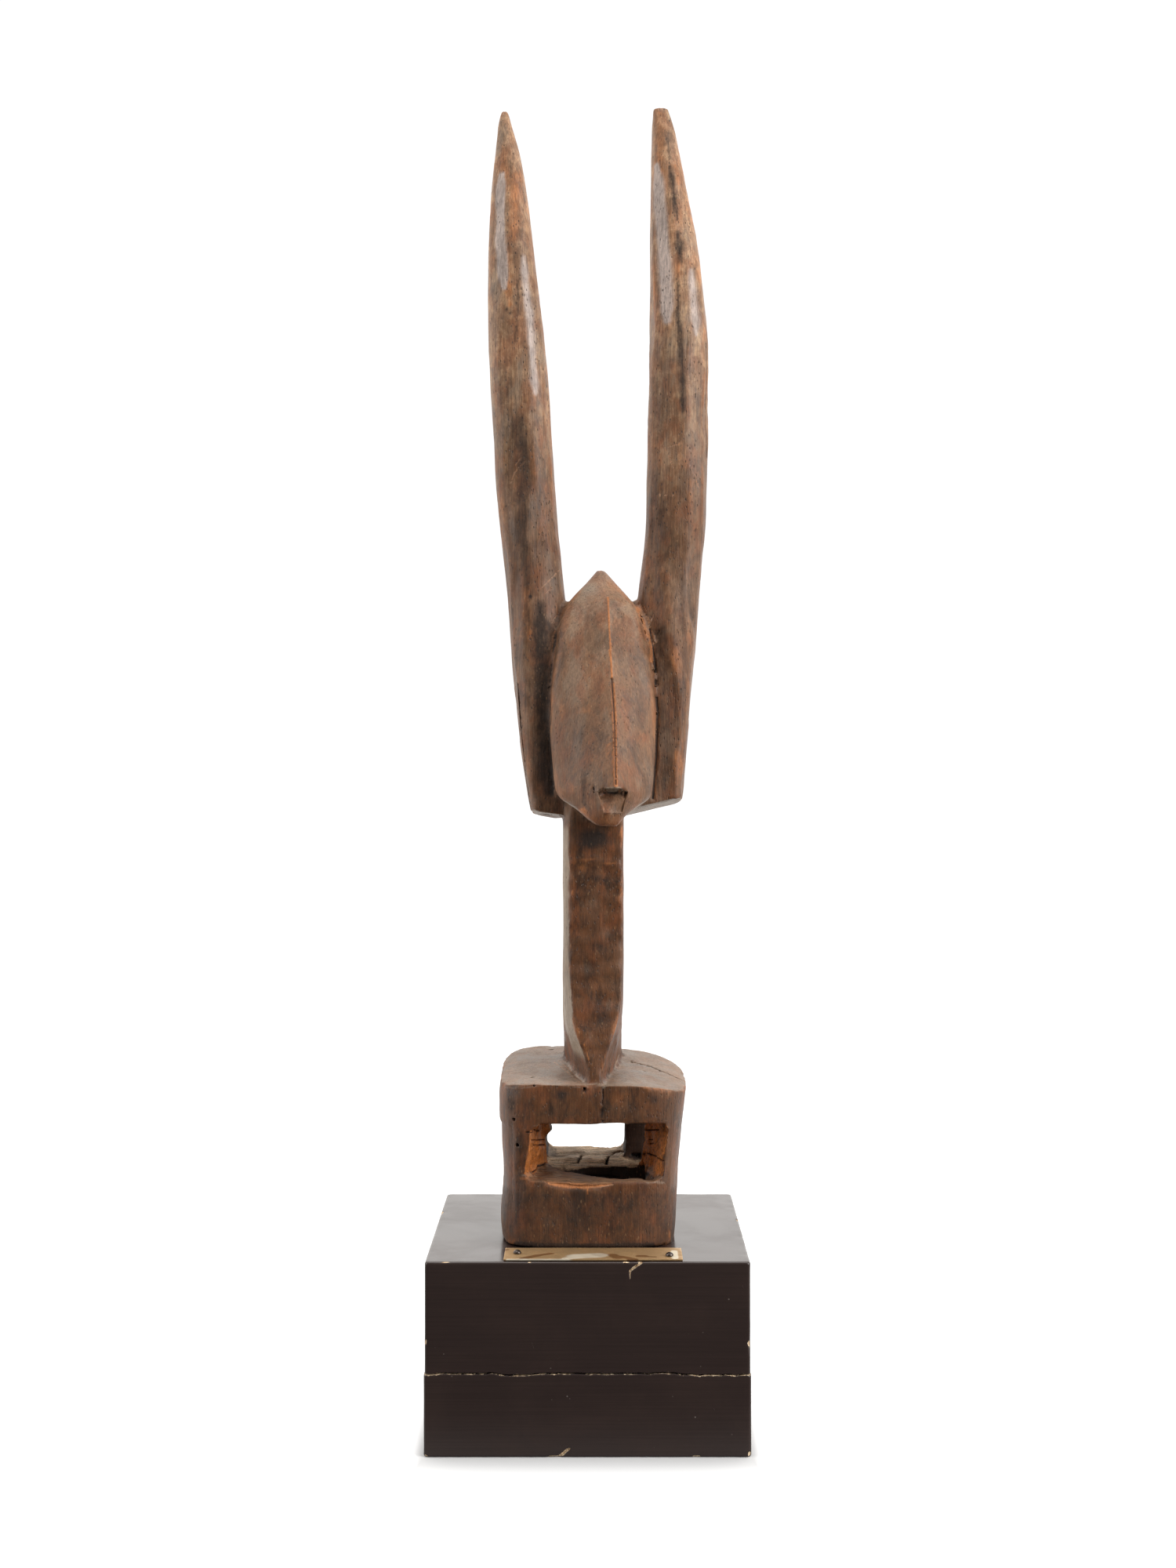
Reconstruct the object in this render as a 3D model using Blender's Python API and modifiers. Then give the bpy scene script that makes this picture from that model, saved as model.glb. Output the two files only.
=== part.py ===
"""A carved wooden antelope crest on its painted plinth, with a blank brass plate.

Metres, +Z up. The origin is the middle of the plinth's underside and the animal faces -Y.
"""

import math

import bmesh
import bpy
from mathutils import Vector

# Plinth: two boards glued one on the other
PLINTH_WIDTH = 0.1504
PLINTH_DEPTH = 0.1500
LOWER_BOARD_OVERHANG = 0.0004
LOWER_BOARD_HEIGHT = 0.0382
UPPER_BOARD_HEIGHT = 0.0515
BOARD_EDGE_RADIUS = 0.0012
CONTACT_GAP = 0.0003

# Brass plate and its two pins
PLATE_WIDTH = 0.0829
PLATE_DEPTH = 0.0226
PLATE_THICKNESS = 0.0008
PLATE_FRONT_MARGIN = 0.0012
PLATE_SIDE_SHIFT = 0.0026
PIN_HEAD_DIAMETER = 0.0038
PIN_HEAD_HEIGHT = 0.0015
PIN_SHANK_DIAMETER = 0.0016
PIN_SHANK_LENGTH = 0.0070
PIN_CLEARANCE = 0.0003
PIN_END_INSET = 0.0060
LEFT_PIN_SETBACK = 0.0108
RIGHT_PIN_SETBACK = 0.0061

# Figure: the whole height, and the sizes of its trunk that can be set by themselves
FIGURE_HEIGHT = 0.5555
PLATE_TO_FIGURE = 0.0004
TRUNK_DEPTH = 0.0908
SLAB_HEIGHT = 0.0317
BELLY_HEIGHT = 0.0585
FRONT_LEG_DEPTH = 0.0408
REAR_LEG_DEPTH = 0.0320
LEFT_LEG_FACE = 0.0115
RIGHT_LEG_FACE = 0.0072
LEFT_LEG_WIDTH = 0.0226
RIGHT_LEG_WIDTH = 0.0182
REAR_LEFT_LEG_WIDTH = 0.0215
REAR_RIGHT_LEG_WIDTH = 0.0280
OPENING_CORNER = 0.0026
OPENING_LEFT_CHAMFER = 0.0046
OPENING_LEFT_SLANT = 0.0040
SIDE_OPENING_CORNER = 0.0035
HOLLOW_DEPTH = 0.0095
FRONT_RAIL_DEPTH = 0.0095
CUTTER_OVERRUN = 0.0060

# The free carving is drawn in parts. A part is 1/555.5 of the figure's height, 1 mm here.
# X is measured from the plinth's middle, Y from the trunk's front, Z from the figure's foot.
PARTS_HIGH = 555.5
PART = FIGURE_HEIGHT / PARTS_HIGH

SEAT = LOWER_BOARD_HEIGHT + UPPER_BOARD_HEIGHT + 2 * CONTACT_GAP
PLATE_FRONT = -PLINTH_DEPTH / 2 + PLATE_FRONT_MARGIN
TRUNK_FRONT = PLATE_FRONT + PLATE_DEPTH + PLATE_TO_FIGURE
TRUNK_REAR = TRUNK_FRONT + TRUNK_DEPTH

# Trunk outline: height, left side, right side
TRUNK_SIDES = (
    (0, -41.6, 41.6),
    (8, -42.6, 42.4),
    (32, -42.4, 43.6),
    (58, -43.0, 46.2),
    (70, -43.4, 47.6),
    (84, -43.2, 48.4),
)
TRUNK_SQUARENESS = 4.4
TRUNK_SIDE_POINTS = 32
BACK_RINGS = (0.992, 0.96, 0.80, 0.52, 0.20)
HOLLOW_LEFT = -15.0
HOLLOW_FLOOR = ((0.0, 0.08), (0.55, 0.80), (1.0, 1.0))
HOLLOW_SECTION = ((0.03, 0.55), (0.45, 1.0), (0.94, 0.75))
SADDLE_FRONT = 77.5
SADDLE_REAR = 82.8
SADDLE_DROP_LEFT = 4.0
SADDLE_DROP_RIGHT = 6.5
SADDLE_REAR_TWIST = 1.8

# Neck: height, front face's left and right edges, its set-back, where the sides start, and the rear
NECK = (
    (68, 0.6, 6.4, 2.5, 63, 84),
    (81, 0.5, 6.6, 3.5, 62, 80),
    (90, -1.6, 8.4, 5.0, 54, 76),
    (96, -3.8, 10.4, 6.5, 46, 74),
    (103, -6.2, 12.9, 8.5, 36, 73),
    (112, -7.7, 15.1, 10.5, 28, 71),
    (126, -8.4, 16.1, 13.0, 24, 69),
    (165, -8.6, 16.3, 15.5, 26, 68),
    (206, -8.8, 16.2, 16.5, 28, 70),
    (224, -8.8, 16.2, 16.5, 28, 72),
)
NECK_LEFT = -12.2
NECK_RIGHT = 16.5
NECK_REAR_CHAMFER = 5.0
NECK_SWELL = 1.1
NECK_SWELL_AT = 0.45

# Horns: height, left edge, right edge, front and rear, from the ear block up to the tip
LEFT_HORN = (
    (204, -28.0, -2.0, 21.0, 76),
    (226, -31.6, -3.0, 22.5, 76),
    (258, -36.0, -5.0, 25.0, 75),
    (289, -38.6, -8.5, 28.0, 72),
    (312, -40.1, -11.3, 31.0, 69),
    (351, -44.7, -15.2, 34.0, 67),
    (398, -47.9, -18.3, 36.5, 67),
    (445, -49.8, -22.0, 39.0, 68),
    (477, -49.9, -26.3, 42.0, 68),
    (508, -49.0, -29.9, 46.5, 68),
    (532, -46.7, -33.8, 51.5, 66.5),
    (548, -45.0, -38.5, 56.0, 64.5),
    (554, -43.4, -40.2, 58.5, 62.5),
)
RIGHT_HORN = (
    (204, 16.0, 46.0, 21.0, 76),
    (226, 17.5, 47.4, 22.5, 76),
    (258, 19.5, 50.4, 25.0, 75),
    (289, 22.5, 53.6, 28.0, 72),
    (312, 24.4, 55.3, 31.0, 69),
    (335, 27.2, 57.4, 33.5, 67.5),
    (351, 28.3, 58.6, 34.0, 67),
    (398, 29.2, 59.6, 36.5, 67),
    (437, 29.9, 59.8, 38.5, 68),
    (461, 30.2, 57.6, 40.5, 68),
    (492, 30.3, 53.4, 44.0, 68),
    (524, 31.1, 47.3, 49.5, 67),
    (545, 31.5, 43.0, 54.0, 65.5),
    (555.5, 32.4, 39.6, 57.5, 63.0),
)
HORN_SIDE_POINTS = 14
HORN_SQUARENESS = 2.5
EAR_SQUARENESS = 6.5
EAR_TOP = 300
EAR_FOOT = 204.0
EAR_FRONT = 21.0
EAR_FOOT_FALL = 0.082
EAR_LEFT_RISE = 0.20
EAR_LEFT_START = -14.0
EAR_RIGHT_RISE = 0.24
EAR_RIGHT_START = 10.0

# Block between the horns, behind the head: height, left, right, front, rear
NAPE = (
    (203, -17.0, 27.0, 26.0, 77),
    (225, -18.0, 30.0, 26.0, 79),
    (255, -17.0, 31.0, 28.0, 78),
    (282, -13.0, 29.0, 32.0, 73),
    (300, -8.0, 22.0, 39.0, 63),
)
NAPE_SIDE_POINTS = 16
NAPE_SQUARENESS = 3.0

# Head: height, left and right edges with their set-back, ridge and its set-back; all from chin to crown
HEAD = (
    (200, 4.4, 14.2, -8.4, 9.2, -9.4),
    (203, 0.0, 16.2, -7.4, 9.0, -11.0),
    (208, -6.0, 22.5, -3.0, 9.6, -13.0),
    (212, -12.6, 29.0, 1.5, 11.5, -13.6),
    (216, -15.4, 30.9, 3.0, 12.9, -13.8),
    (228, -16.9, 31.6, 8.0, 12.9, -10.6),
    (242, -18.2, 32.4, 12.0, 12.7, -4.0),
    (256, -18.7, 32.8, 15.5, 12.3, 2.5),
    (274, -17.4, 32.1, 20.0, 11.4, 10.6),
    (288, -15.2, 30.2, 24.0, 10.8, 17.0),
    (299, -12.8, 27.2, 28.0, 10.1, 22.0),
    (308, -9.4, 21.4, 33.0, 9.4, 27.0),
    (317, -1.4, 13.8, 40.0, 7.2, 35.0),
    (324, 4.4, 7.9, 46.0, 5.9, 43.5),
)
HEAD_REAR = 50.0
CHEEK_BULGE = 0.06
CHEEK_ROUNDING = 0.09
MUZZLE_CUT_LEFT = 4.4
MUZZLE_CUT_RIGHT = 19.0
MUZZLE_CUT_TOP = 217.6
MUZZLE_CUT_FOOT = 207.5
MUZZLE_CUT_FOOT_LEFT = 7.6
MUZZLE_CUT_FOOT_RIGHT = 16.4
MUZZLE_CUT_DEPTH = 6.5
MUZZLE_CUT_CHIN_DEPTH = 1.2
MUZZLE_CUT_REACH = 10.0

# How finely things are drawn
SHARP_DEGREES = 24
ROUND_STEPS = 20
DOME_STEPS = 5
MERGE_DISTANCE = 0.00001
CUT_MARGIN = 0.0020


def set_scene_empty():
    for item in list(bpy.data.objects):
        bpy.data.objects.remove(item, do_unlink=True)


def new_collection(name):
    collection = bpy.data.collections.new(name)
    bpy.context.scene.collection.children.link(collection)
    return collection


def new_material(name, colour, roughness, metallic=0.0):
    material = bpy.data.materials.new(name)
    material.use_nodes = True
    shader = material.node_tree.nodes["Principled BSDF"]
    shader.inputs["Base Color"].default_value = (*colour, 1.0)
    shader.inputs["Roughness"].default_value = roughness
    shader.inputs["Metallic"].default_value = metallic
    material.diffuse_color = (*colour, 1.0)
    return material


def carved_wood():
    return new_material("carved_wood", (0.15, 0.075, 0.04), 0.55)


def plinth_paint():
    return new_material("plinth_paint", (0.026, 0.017, 0.015), 0.35)


def plate_brass():
    return new_material("plate_brass", (0.50, 0.37, 0.18), 0.35, 1.0)


def pin_steel():
    return new_material("pin_steel", (0.12, 0.11, 0.10), 0.40, 1.0)


def new_object(name, mesh, collection, material=None):
    mesh.shade_smooth()
    mesh.set_sharp_from_angle(angle=math.radians(SHARP_DEGREES))
    item = bpy.data.objects.new(name, mesh)
    collection.objects.link(item)
    if material:
        mesh.materials.append(material)
    return item


def hide_guide(item):
    item.hide_render = True
    item.display_type = "WIRE"
    return item


def at(x, y, z):
    """A place on the figure, from its parts."""
    return Vector((x * PART, TRUNK_FRONT + y * PART, SEAT + z * PART))


def smooth_value(stations, column, place):
    """Reads one column of a table of stations on a smooth curve through its rows."""
    places = [row[0] for row in stations]
    values = [row[column] for row in stations]
    last = len(places) - 1
    slopes = []
    for i in range(last + 1):
        before, after = max(i - 1, 0), min(i + 1, last)
        slopes.append((values[after] - values[before]) / (places[after] - places[before]))
    i = 0
    while i < last - 1 and place > places[i + 1]:
        i += 1
    width = places[i + 1] - places[i]
    t = (place - places[i]) / width
    bend = 3 * t * t - 2 * t * t * t
    start = t - 2 * t * t + t * t * t
    end = t * t * t - t * t
    value = values[i] + (values[i + 1] - values[i]) * bend
    return value + width * (slopes[i] * start + slopes[i + 1] * end)


def with_middles(stations):
    """The heights of the stations and one between each two."""
    heights = [row[0] for row in stations]
    middles = [(low + high) / 2 for low, high in zip(heights, heights[1:])]
    return sorted(heights + middles)


def loft(name, rings, collection, material=None):
    """A closed body through rings of as many points each, with a flat face at either end."""
    cage = bmesh.new()
    made = [[cage.verts.new(point) for point in ring] for ring in rings]
    for lower, upper in zip(made, made[1:]):
        for i in range(len(lower)):
            j = (i + 1) % len(lower)
            cage.faces.new((lower[i], lower[j], upper[j], upper[i]))
    cage.faces.new(reversed(made[0]))
    cage.faces.new(made[-1])
    bmesh.ops.recalc_face_normals(cage, faces=cage.faces)
    bmesh.ops.triangulate(cage, faces=cage.faces)
    mesh = bpy.data.meshes.new(name)
    cage.to_mesh(mesh)
    cage.free()
    return new_object(name, mesh, collection, material)


def rounded_square(sides, squareness):
    """Points of a unit square with soft corners, anticlockwise from +X, as (u, v) from -1 to 1."""
    points = []
    for i in range(sides):
        angle = 2 * math.pi * (i + 0.5) / sides
        u, v = math.cos(angle), math.sin(angle)
        points.append(
            (
                math.copysign(abs(u) ** (2 / squareness), u),
                math.copysign(abs(v) ** (2 / squareness), v),
            )
        )
    return points


def between(low, high, share):
    return low + (high - low) * share


def box(name, low, high, collection, material=None):
    cage = bmesh.new()
    bmesh.ops.create_cube(cage, size=1.0)
    for vertex in cage.verts:
        for axis in range(3):
            vertex.co[axis] = between(low[axis], high[axis], vertex.co[axis] + 0.5)
    mesh = bpy.data.meshes.new(name)
    cage.to_mesh(mesh)
    cage.free()
    return new_object(name, mesh, collection, material)


def cylinder(name, radius, low, high, centre, collection):
    cage = bmesh.new()
    bmesh.ops.create_cone(
        cage, cap_ends=True, segments=ROUND_STEPS, radius1=radius, radius2=radius, depth=high - low
    )
    bmesh.ops.translate(cage, verts=cage.verts, vec=(*centre, (low + high) / 2))
    mesh = bpy.data.meshes.new(name)
    cage.to_mesh(mesh)
    cage.free()
    return new_object(name, mesh, collection)


def add_boolean(item, other, operation):
    modifier = item.modifiers.new(f"{operation.lower()} {other.name}", "BOOLEAN")
    modifier.operation = operation
    modifier.solver = "EXACT"
    modifier.object = other
    hide_guide(other)


def make_one_mesh(item):
    """Turns the item's cuts and joins into its own mesh, with its arrises marked sharp."""
    graph = bpy.context.evaluated_depsgraph_get()
    mesh = bpy.data.meshes.new_from_object(item.evaluated_get(graph))
    mesh.name = item.name
    item.modifiers.clear()
    item.data = mesh
    mesh.set_sharp_from_angle(angle=math.radians(SHARP_DEGREES))


def saddle(x, y):
    """Height in parts of the trunk's gently arched back at a place on it."""
    depth = TRUNK_DEPTH / PART
    share = min(max(y / depth, 0.0), 1.0)
    left = TRUNK_SIDES[-1][1]
    right = TRUNK_SIDES[-1][2]
    middle = (left + right) / 2
    off_middle = (x - middle) / ((right - left) / 2)
    twist = SADDLE_REAR_TWIST * share * off_middle
    drop = SADDLE_DROP_LEFT * off_middle**6 if off_middle < 0 else SADDLE_DROP_RIGHT * off_middle**3
    return between(SADDLE_FRONT, SADDLE_REAR, share) - twist - drop


def trunk(collection, material):
    """The block of trunk, legs and base slab before the openings are cut."""
    depth = TRUNK_DEPTH / PART
    outline = rounded_square(TRUNK_SIDE_POINTS, TRUNK_SQUARENESS)

    def ring(left, right, height, shrink=1.0):
        """One section: level at a height, or lying on the arched back where that is None."""
        points = []
        for u, v in outline:
            x = between(left, right, (u * shrink + 1) / 2)
            y = between(0, depth, (v * shrink + 1) / 2)
            points.append(at(x, y, saddle(x, y) if height is None else height))
        return points

    rings = [ring(left, right, height) for height, left, right in TRUNK_SIDES[:-1]]
    left, right = TRUNK_SIDES[-1][1:]
    rings.extend(ring(left, right, None, shrink) for shrink in BACK_RINGS)
    return loft("antelope_figure", rings, collection, material)


def opening(name, spans, collection):
    """A cutter along Y: each span has y, left and right at the foot, and left and right at the top."""
    rings = []
    foot, top = SEAT + SLAB_HEIGHT, SEAT + BELLY_HEIGHT
    corner, chamfer = OPENING_CORNER, OPENING_LEFT_CHAMFER
    for y, foot_left, foot_right, top_left, top_right in spans:
        rings.append(
            [
                Vector((foot_left + corner, y, foot)),
                Vector((foot_right - corner, y, foot)),
                Vector((foot_right, y, foot + corner)),
                Vector((top_right, y, top - corner)),
                Vector((top_right - corner, y, top)),
                Vector((top_left + chamfer, y, top)),
                Vector((top_left, y, top - chamfer)),
                Vector((foot_left, y, foot + corner)),
            ]
        )
    return loft(name, rings, collection)


def trunk_side(column, height):
    return smooth_value(TRUNK_SIDES, column, height / PART) * PART


def leg_openings(collection):
    """The space between the four legs: splayed to the front, straight to the rear, and side to side."""
    left_foot, left_top = trunk_side(1, SLAB_HEIGHT), trunk_side(1, BELLY_HEIGHT)
    right_foot, right_top = trunk_side(2, SLAB_HEIGHT), trunk_side(2, BELLY_HEIGHT)
    waist = TRUNK_FRONT + FRONT_LEG_DEPTH
    rear_start = TRUNK_REAR - REAR_LEG_DEPTH
    outside = CUTTER_OVERRUN

    def front_span(y, share):
        left = between(LEFT_LEG_FACE, LEFT_LEG_WIDTH, share)
        right = between(RIGHT_LEG_FACE, RIGHT_LEG_WIDTH, share)
        tilt = OPENING_LEFT_SLANT * (1 - share)
        return (y, left_foot + left, right_foot - right, left_top + left + tilt, right_top - right)

    front = opening(
        "front_opening_cutter",
        (
            front_span(TRUNK_FRONT - outside, -outside / FRONT_LEG_DEPTH),
            front_span(waist, 1.0),
            front_span((waist + rear_start) / 2, 1.0),
        ),
        collection,
    )
    left = left_top + REAR_LEFT_LEG_WIDTH
    right = right_top - REAR_RIGHT_LEG_WIDTH
    rear = opening(
        "rear_opening_cutter",
        tuple(
            (y, left, right, left, right)
            for y in ((waist + rear_start) / 2 - CONTACT_GAP, TRUNK_REAR + outside)
        ),
        collection,
    )
    arch = SIDE_OPENING_CORNER
    foot, top = SEAT + SLAB_HEIGHT + CONTACT_GAP, SEAT + BELLY_HEIGHT - CONTACT_GAP
    rings = []
    for x in (left_top - outside, right_top + outside):
        rings.append(
            [
                Vector((x, waist, foot)),
                Vector((x, rear_start, foot)),
                Vector((x, rear_start, top - arch)),
                Vector((x, rear_start - arch, top)),
                Vector((x, waist + arch, top)),
                Vector((x, waist, top - arch)),
            ]
        )
    return front, rear, loft("side_opening_cutter", rings, collection)


def floor_hollow(collection):
    """The split hollow in the slab behind its front rail, deeper to the right."""
    front, rear = TRUNK_FRONT + FRONT_RAIL_DEPTH, TRUNK_FRONT + FRONT_LEG_DEPTH
    foot = SEAT + SLAB_HEIGHT
    top = foot + CUT_MARGIN
    left = HOLLOW_LEFT * PART
    right = trunk_side(2, SLAB_HEIGHT) - RIGHT_LEG_WIDTH + CUT_MARGIN
    rings = []
    for along, sinking in HOLLOW_FLOOR:
        x, depth = between(left, right, along), HOLLOW_DEPTH * sinking
        section = [Vector((x, front, top)), Vector((x, rear, top))]
        for across, share in HOLLOW_SECTION:
            section.insert(-1, Vector((x, between(front, rear, across), foot - depth * share)))
        rings.append(section)
    return loft("floor_hollow_cutter", rings, collection)


def neck(collection):
    """A deep plank of a neck whose foot narrows to a prow on the trunk's front edge."""
    rings = []
    for height in with_middles(NECK):
        left, right, front, sides, rear = (smooth_value(NECK, i, height) for i in range(1, 6))
        middle, swell = NECK_SWELL_AT, NECK_SWELL
        chamfer = NECK_REAR_CHAMFER
        rings.append(
            [
                at(left, front, height),
                at(right, front, height),
                at(between(right, NECK_RIGHT, middle) + swell, between(front, sides, middle), height),
                at(NECK_RIGHT, sides, height),
                at(NECK_RIGHT, rear - chamfer, height),
                at(NECK_RIGHT - chamfer, rear, height),
                at(NECK_LEFT + chamfer, rear, height),
                at(NECK_LEFT, rear - chamfer, height),
                at(NECK_LEFT, sides, height),
                at(between(left, NECK_LEFT, middle) - swell, between(front, sides, middle), height),
            ]
        )
    return loft("neck_guide", rings, collection)


def ear_foot(x, y):
    """Height in parts of the ear block's underside, which falls to the rear and rises outwards."""
    rise = EAR_LEFT_RISE * max(EAR_LEFT_START - x, 0) + EAR_RIGHT_RISE * max(x - EAR_RIGHT_START, 0)
    return EAR_FOOT - EAR_FOOT_FALL * (y - EAR_FRONT) + rise


def upright_loft(name, stations, outline_at, collection):
    """A body of level sections on a slanted foot, each between its left, right, front and rear."""
    rings = []
    foot = stations[0][0]
    for height in with_middles(stations):
        left, right, front, rear = (smooth_value(stations, i, height) for i in range(1, 5))
        ring = []
        for u, v in outline_at(height):
            x = between(left, right, (u + 1) / 2)
            y = between(front, rear, (v + 1) / 2)
            ring.append(at(x, y, ear_foot(x, y) if height == foot else height))
        rings.append(ring)
    return loft(name, rings, collection)


def horn(name, stations, collection):
    """A horn and the ear block under it, squarer below, rounder above, ending in a blunt tip."""

    def outline_at(height):
        rounding = min(max((height - EAR_FOOT) / (EAR_TOP - EAR_FOOT), 0.0), 1.0)
        return rounded_square(HORN_SIDE_POINTS, between(EAR_SQUARENESS, HORN_SQUARENESS, rounding))

    return upright_loft(name, stations, outline_at, collection)


def nape(collection):
    """The wood between the horns that the head grows from."""
    outline = rounded_square(NAPE_SIDE_POINTS, NAPE_SQUARENESS)
    return upright_loft("nape_guide", NAPE, lambda height: outline, collection)


def head(collection):
    """A long wedge of a face with a sharp ridge down its middle and a gabled crown."""
    rings = []
    for height in with_middles(HEAD):
        left, right, edge, ridge, nose = (smooth_value(HEAD, i, height) for i in range(1, 6))
        bulge = CHEEK_BULGE * (edge - nose)
        side_start = between(edge, HEAD_REAR, CHEEK_ROUNDING)
        cheek = between(edge, nose, 0.5) - bulge
        rings.append(
            [
                at(left, HEAD_REAR, height),
                at(left, side_start, height),
                at(between(left, ridge, CHEEK_ROUNDING), edge - bulge / 2, height),
                at(between(left, ridge, 0.5), cheek, height),
                at(ridge, nose, height),
                at(between(right, ridge, 0.5), cheek, height),
                at(between(right, ridge, CHEEK_ROUNDING), edge - bulge / 2, height),
                at(right, side_start, height),
                at(right, HEAD_REAR, height),
            ]
        )
    return loft("head_guide", rings, collection)


def mouth_cutter(collection):
    """The scoop under the nose: a straight upper edge, running out towards the chin."""
    top, foot = MUZZLE_CUT_TOP, MUZZLE_CUT_FOOT
    surface = smooth_value(HEAD, 5, top)
    front = surface - MUZZLE_CUT_REACH
    floor = surface + MUZZLE_CUT_DEPTH
    chin = smooth_value(HEAD, 5, foot) + MUZZLE_CUT_CHIN_DEPTH
    rings = []
    for share in (0.0, 1.0):
        x_top = between(MUZZLE_CUT_LEFT, MUZZLE_CUT_RIGHT, share)
        x_foot = between(MUZZLE_CUT_FOOT_LEFT, MUZZLE_CUT_FOOT_RIGHT, share)
        rings.append(
            [
                at(x_top, front, top),
                at(x_top, floor, top),
                at(between(x_top, x_foot, 0.5), between(floor, chin, 0.55), between(top, foot, 0.5)),
                at(x_foot, chin, foot),
                at(x_foot, front, foot),
            ]
        )
    return loft("mouth_cutter", rings, collection)


def antelope_figure(collection, guides, material):
    """One carved solid: trunk on four legs and a slab, neck, head, ears and horns."""
    figure = trunk(collection, material)
    for cutter in leg_openings(guides):
        add_boolean(figure, cutter, "DIFFERENCE")
    add_boolean(figure, floor_hollow(guides), "DIFFERENCE")
    add_boolean(figure, neck(guides), "UNION")
    add_boolean(figure, nape(guides), "UNION")
    add_boolean(figure, horn("left_horn_guide", LEFT_HORN, guides), "UNION")
    add_boolean(figure, horn("right_horn_guide", RIGHT_HORN, guides), "UNION")
    add_boolean(figure, head(guides), "UNION")
    add_boolean(figure, mouth_cutter(guides), "DIFFERENCE")
    make_one_mesh(figure)
    return figure


def board(name, foot, height, overhang, collection, material):
    half_width, half_depth = PLINTH_WIDTH / 2 + overhang, PLINTH_DEPTH / 2 + overhang
    item = box(
        name,
        (-half_width, -half_depth, foot),
        (half_width, half_depth, foot + height),
        collection,
        material,
    )
    bevel = item.modifiers.new("worn edges", "BEVEL")
    bevel.width = BOARD_EDGE_RADIUS
    bevel.segments = 2
    return item


def pin_places():
    left = PLATE_SIDE_SHIFT - PLATE_WIDTH / 2 + PIN_END_INSET
    right = PLATE_SIDE_SHIFT + PLATE_WIDTH / 2 - PIN_END_INSET
    return {
        "plate_pin_left": (left, PLATE_FRONT + LEFT_PIN_SETBACK),
        "plate_pin_right": (right, PLATE_FRONT + RIGHT_PIN_SETBACK),
    }


def plate_top():
    return SEAT + PLATE_THICKNESS


def name_plate(collection, guides, material):
    plate = box(
        "name_plate",
        (PLATE_SIDE_SHIFT - PLATE_WIDTH / 2, PLATE_FRONT, SEAT),
        (PLATE_SIDE_SHIFT + PLATE_WIDTH / 2, PLATE_FRONT + PLATE_DEPTH, plate_top()),
        collection,
        material,
    )
    for pin, centre in pin_places().items():
        low, high = SEAT - CUT_MARGIN, plate_top() + CUT_MARGIN
        drill_pin_hole(plate, f"{pin}_plate_drill", centre, low, high, guides)
    return plate


def drill_pin_hole(item, name, centre, low, high, guides):
    radius = PIN_SHANK_DIAMETER / 2 + PIN_CLEARANCE
    add_boolean(item, cylinder(name, radius, low, high, centre, guides), "DIFFERENCE")


def plate_pin(name, centre, collection, material):
    """A domed head turned with its shank: the profile runs down the outer side."""
    radius = PIN_HEAD_DIAMETER / 2
    under_head = plate_top() + CONTACT_GAP
    profile = []
    for i in range(DOME_STEPS + 1):
        angle = math.pi / 2 * (1 - i / DOME_STEPS)
        profile.append((radius * math.cos(angle), under_head + PIN_HEAD_HEIGHT * math.sin(angle)))
    profile[0] = (0.0, profile[0][1])
    foot = under_head - PIN_SHANK_LENGTH
    shank = PIN_SHANK_DIAMETER / 2
    profile.extend([(shank, under_head), (shank, foot + shank), (0.0, foot)])
    mesh = bpy.data.meshes.new(name)
    points = [(x, 0.0, z) for x, z in profile]
    mesh.from_pydata(points, [(i, i + 1) for i in range(len(points) - 1)], [])
    item = new_object(name, mesh, collection, material)
    item.location = (*centre, 0.0)
    screw = item.modifiers.new("turned", "SCREW")
    screw.steps = ROUND_STEPS
    screw.render_steps = ROUND_STEPS
    screw.use_merge_vertices = True
    screw.merge_threshold = MERGE_DISTANCE
    return item


def main():
    set_scene_empty()
    parts = new_collection("antelope_sculpture")
    guides = new_collection("carving_guides")
    paint = plinth_paint()
    steel = pin_steel()
    board("plinth_lower_board", 0.0, LOWER_BOARD_HEIGHT, LOWER_BOARD_OVERHANG, parts, paint)
    upper_foot = LOWER_BOARD_HEIGHT + CONTACT_GAP
    upper = board("plinth_upper_board", upper_foot, UPPER_BOARD_HEIGHT, 0.0, parts, paint)
    name_plate(parts, guides, plate_brass())
    for pin, centre in pin_places().items():
        bore_foot = plate_top() + CONTACT_GAP - PIN_SHANK_LENGTH - PIN_CLEARANCE
        drill_pin_hole(upper, f"{pin}_board_drill", centre, bore_foot, SEAT + CUT_MARGIN, guides)
        plate_pin(pin, centre, parts, steel)
    antelope_figure(parts, guides, carved_wood())


main()
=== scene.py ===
"""Dresses the carved antelope crest, its painted plinth, the blank brass plate and its two pins.

Lengths of the carving are in millimetres until a mesh is made. The figure's visible marks are placed
where a photograph of 1500 x 2000 pixels shows them, and a ray from the camera finds the wood under each.
"""

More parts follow.
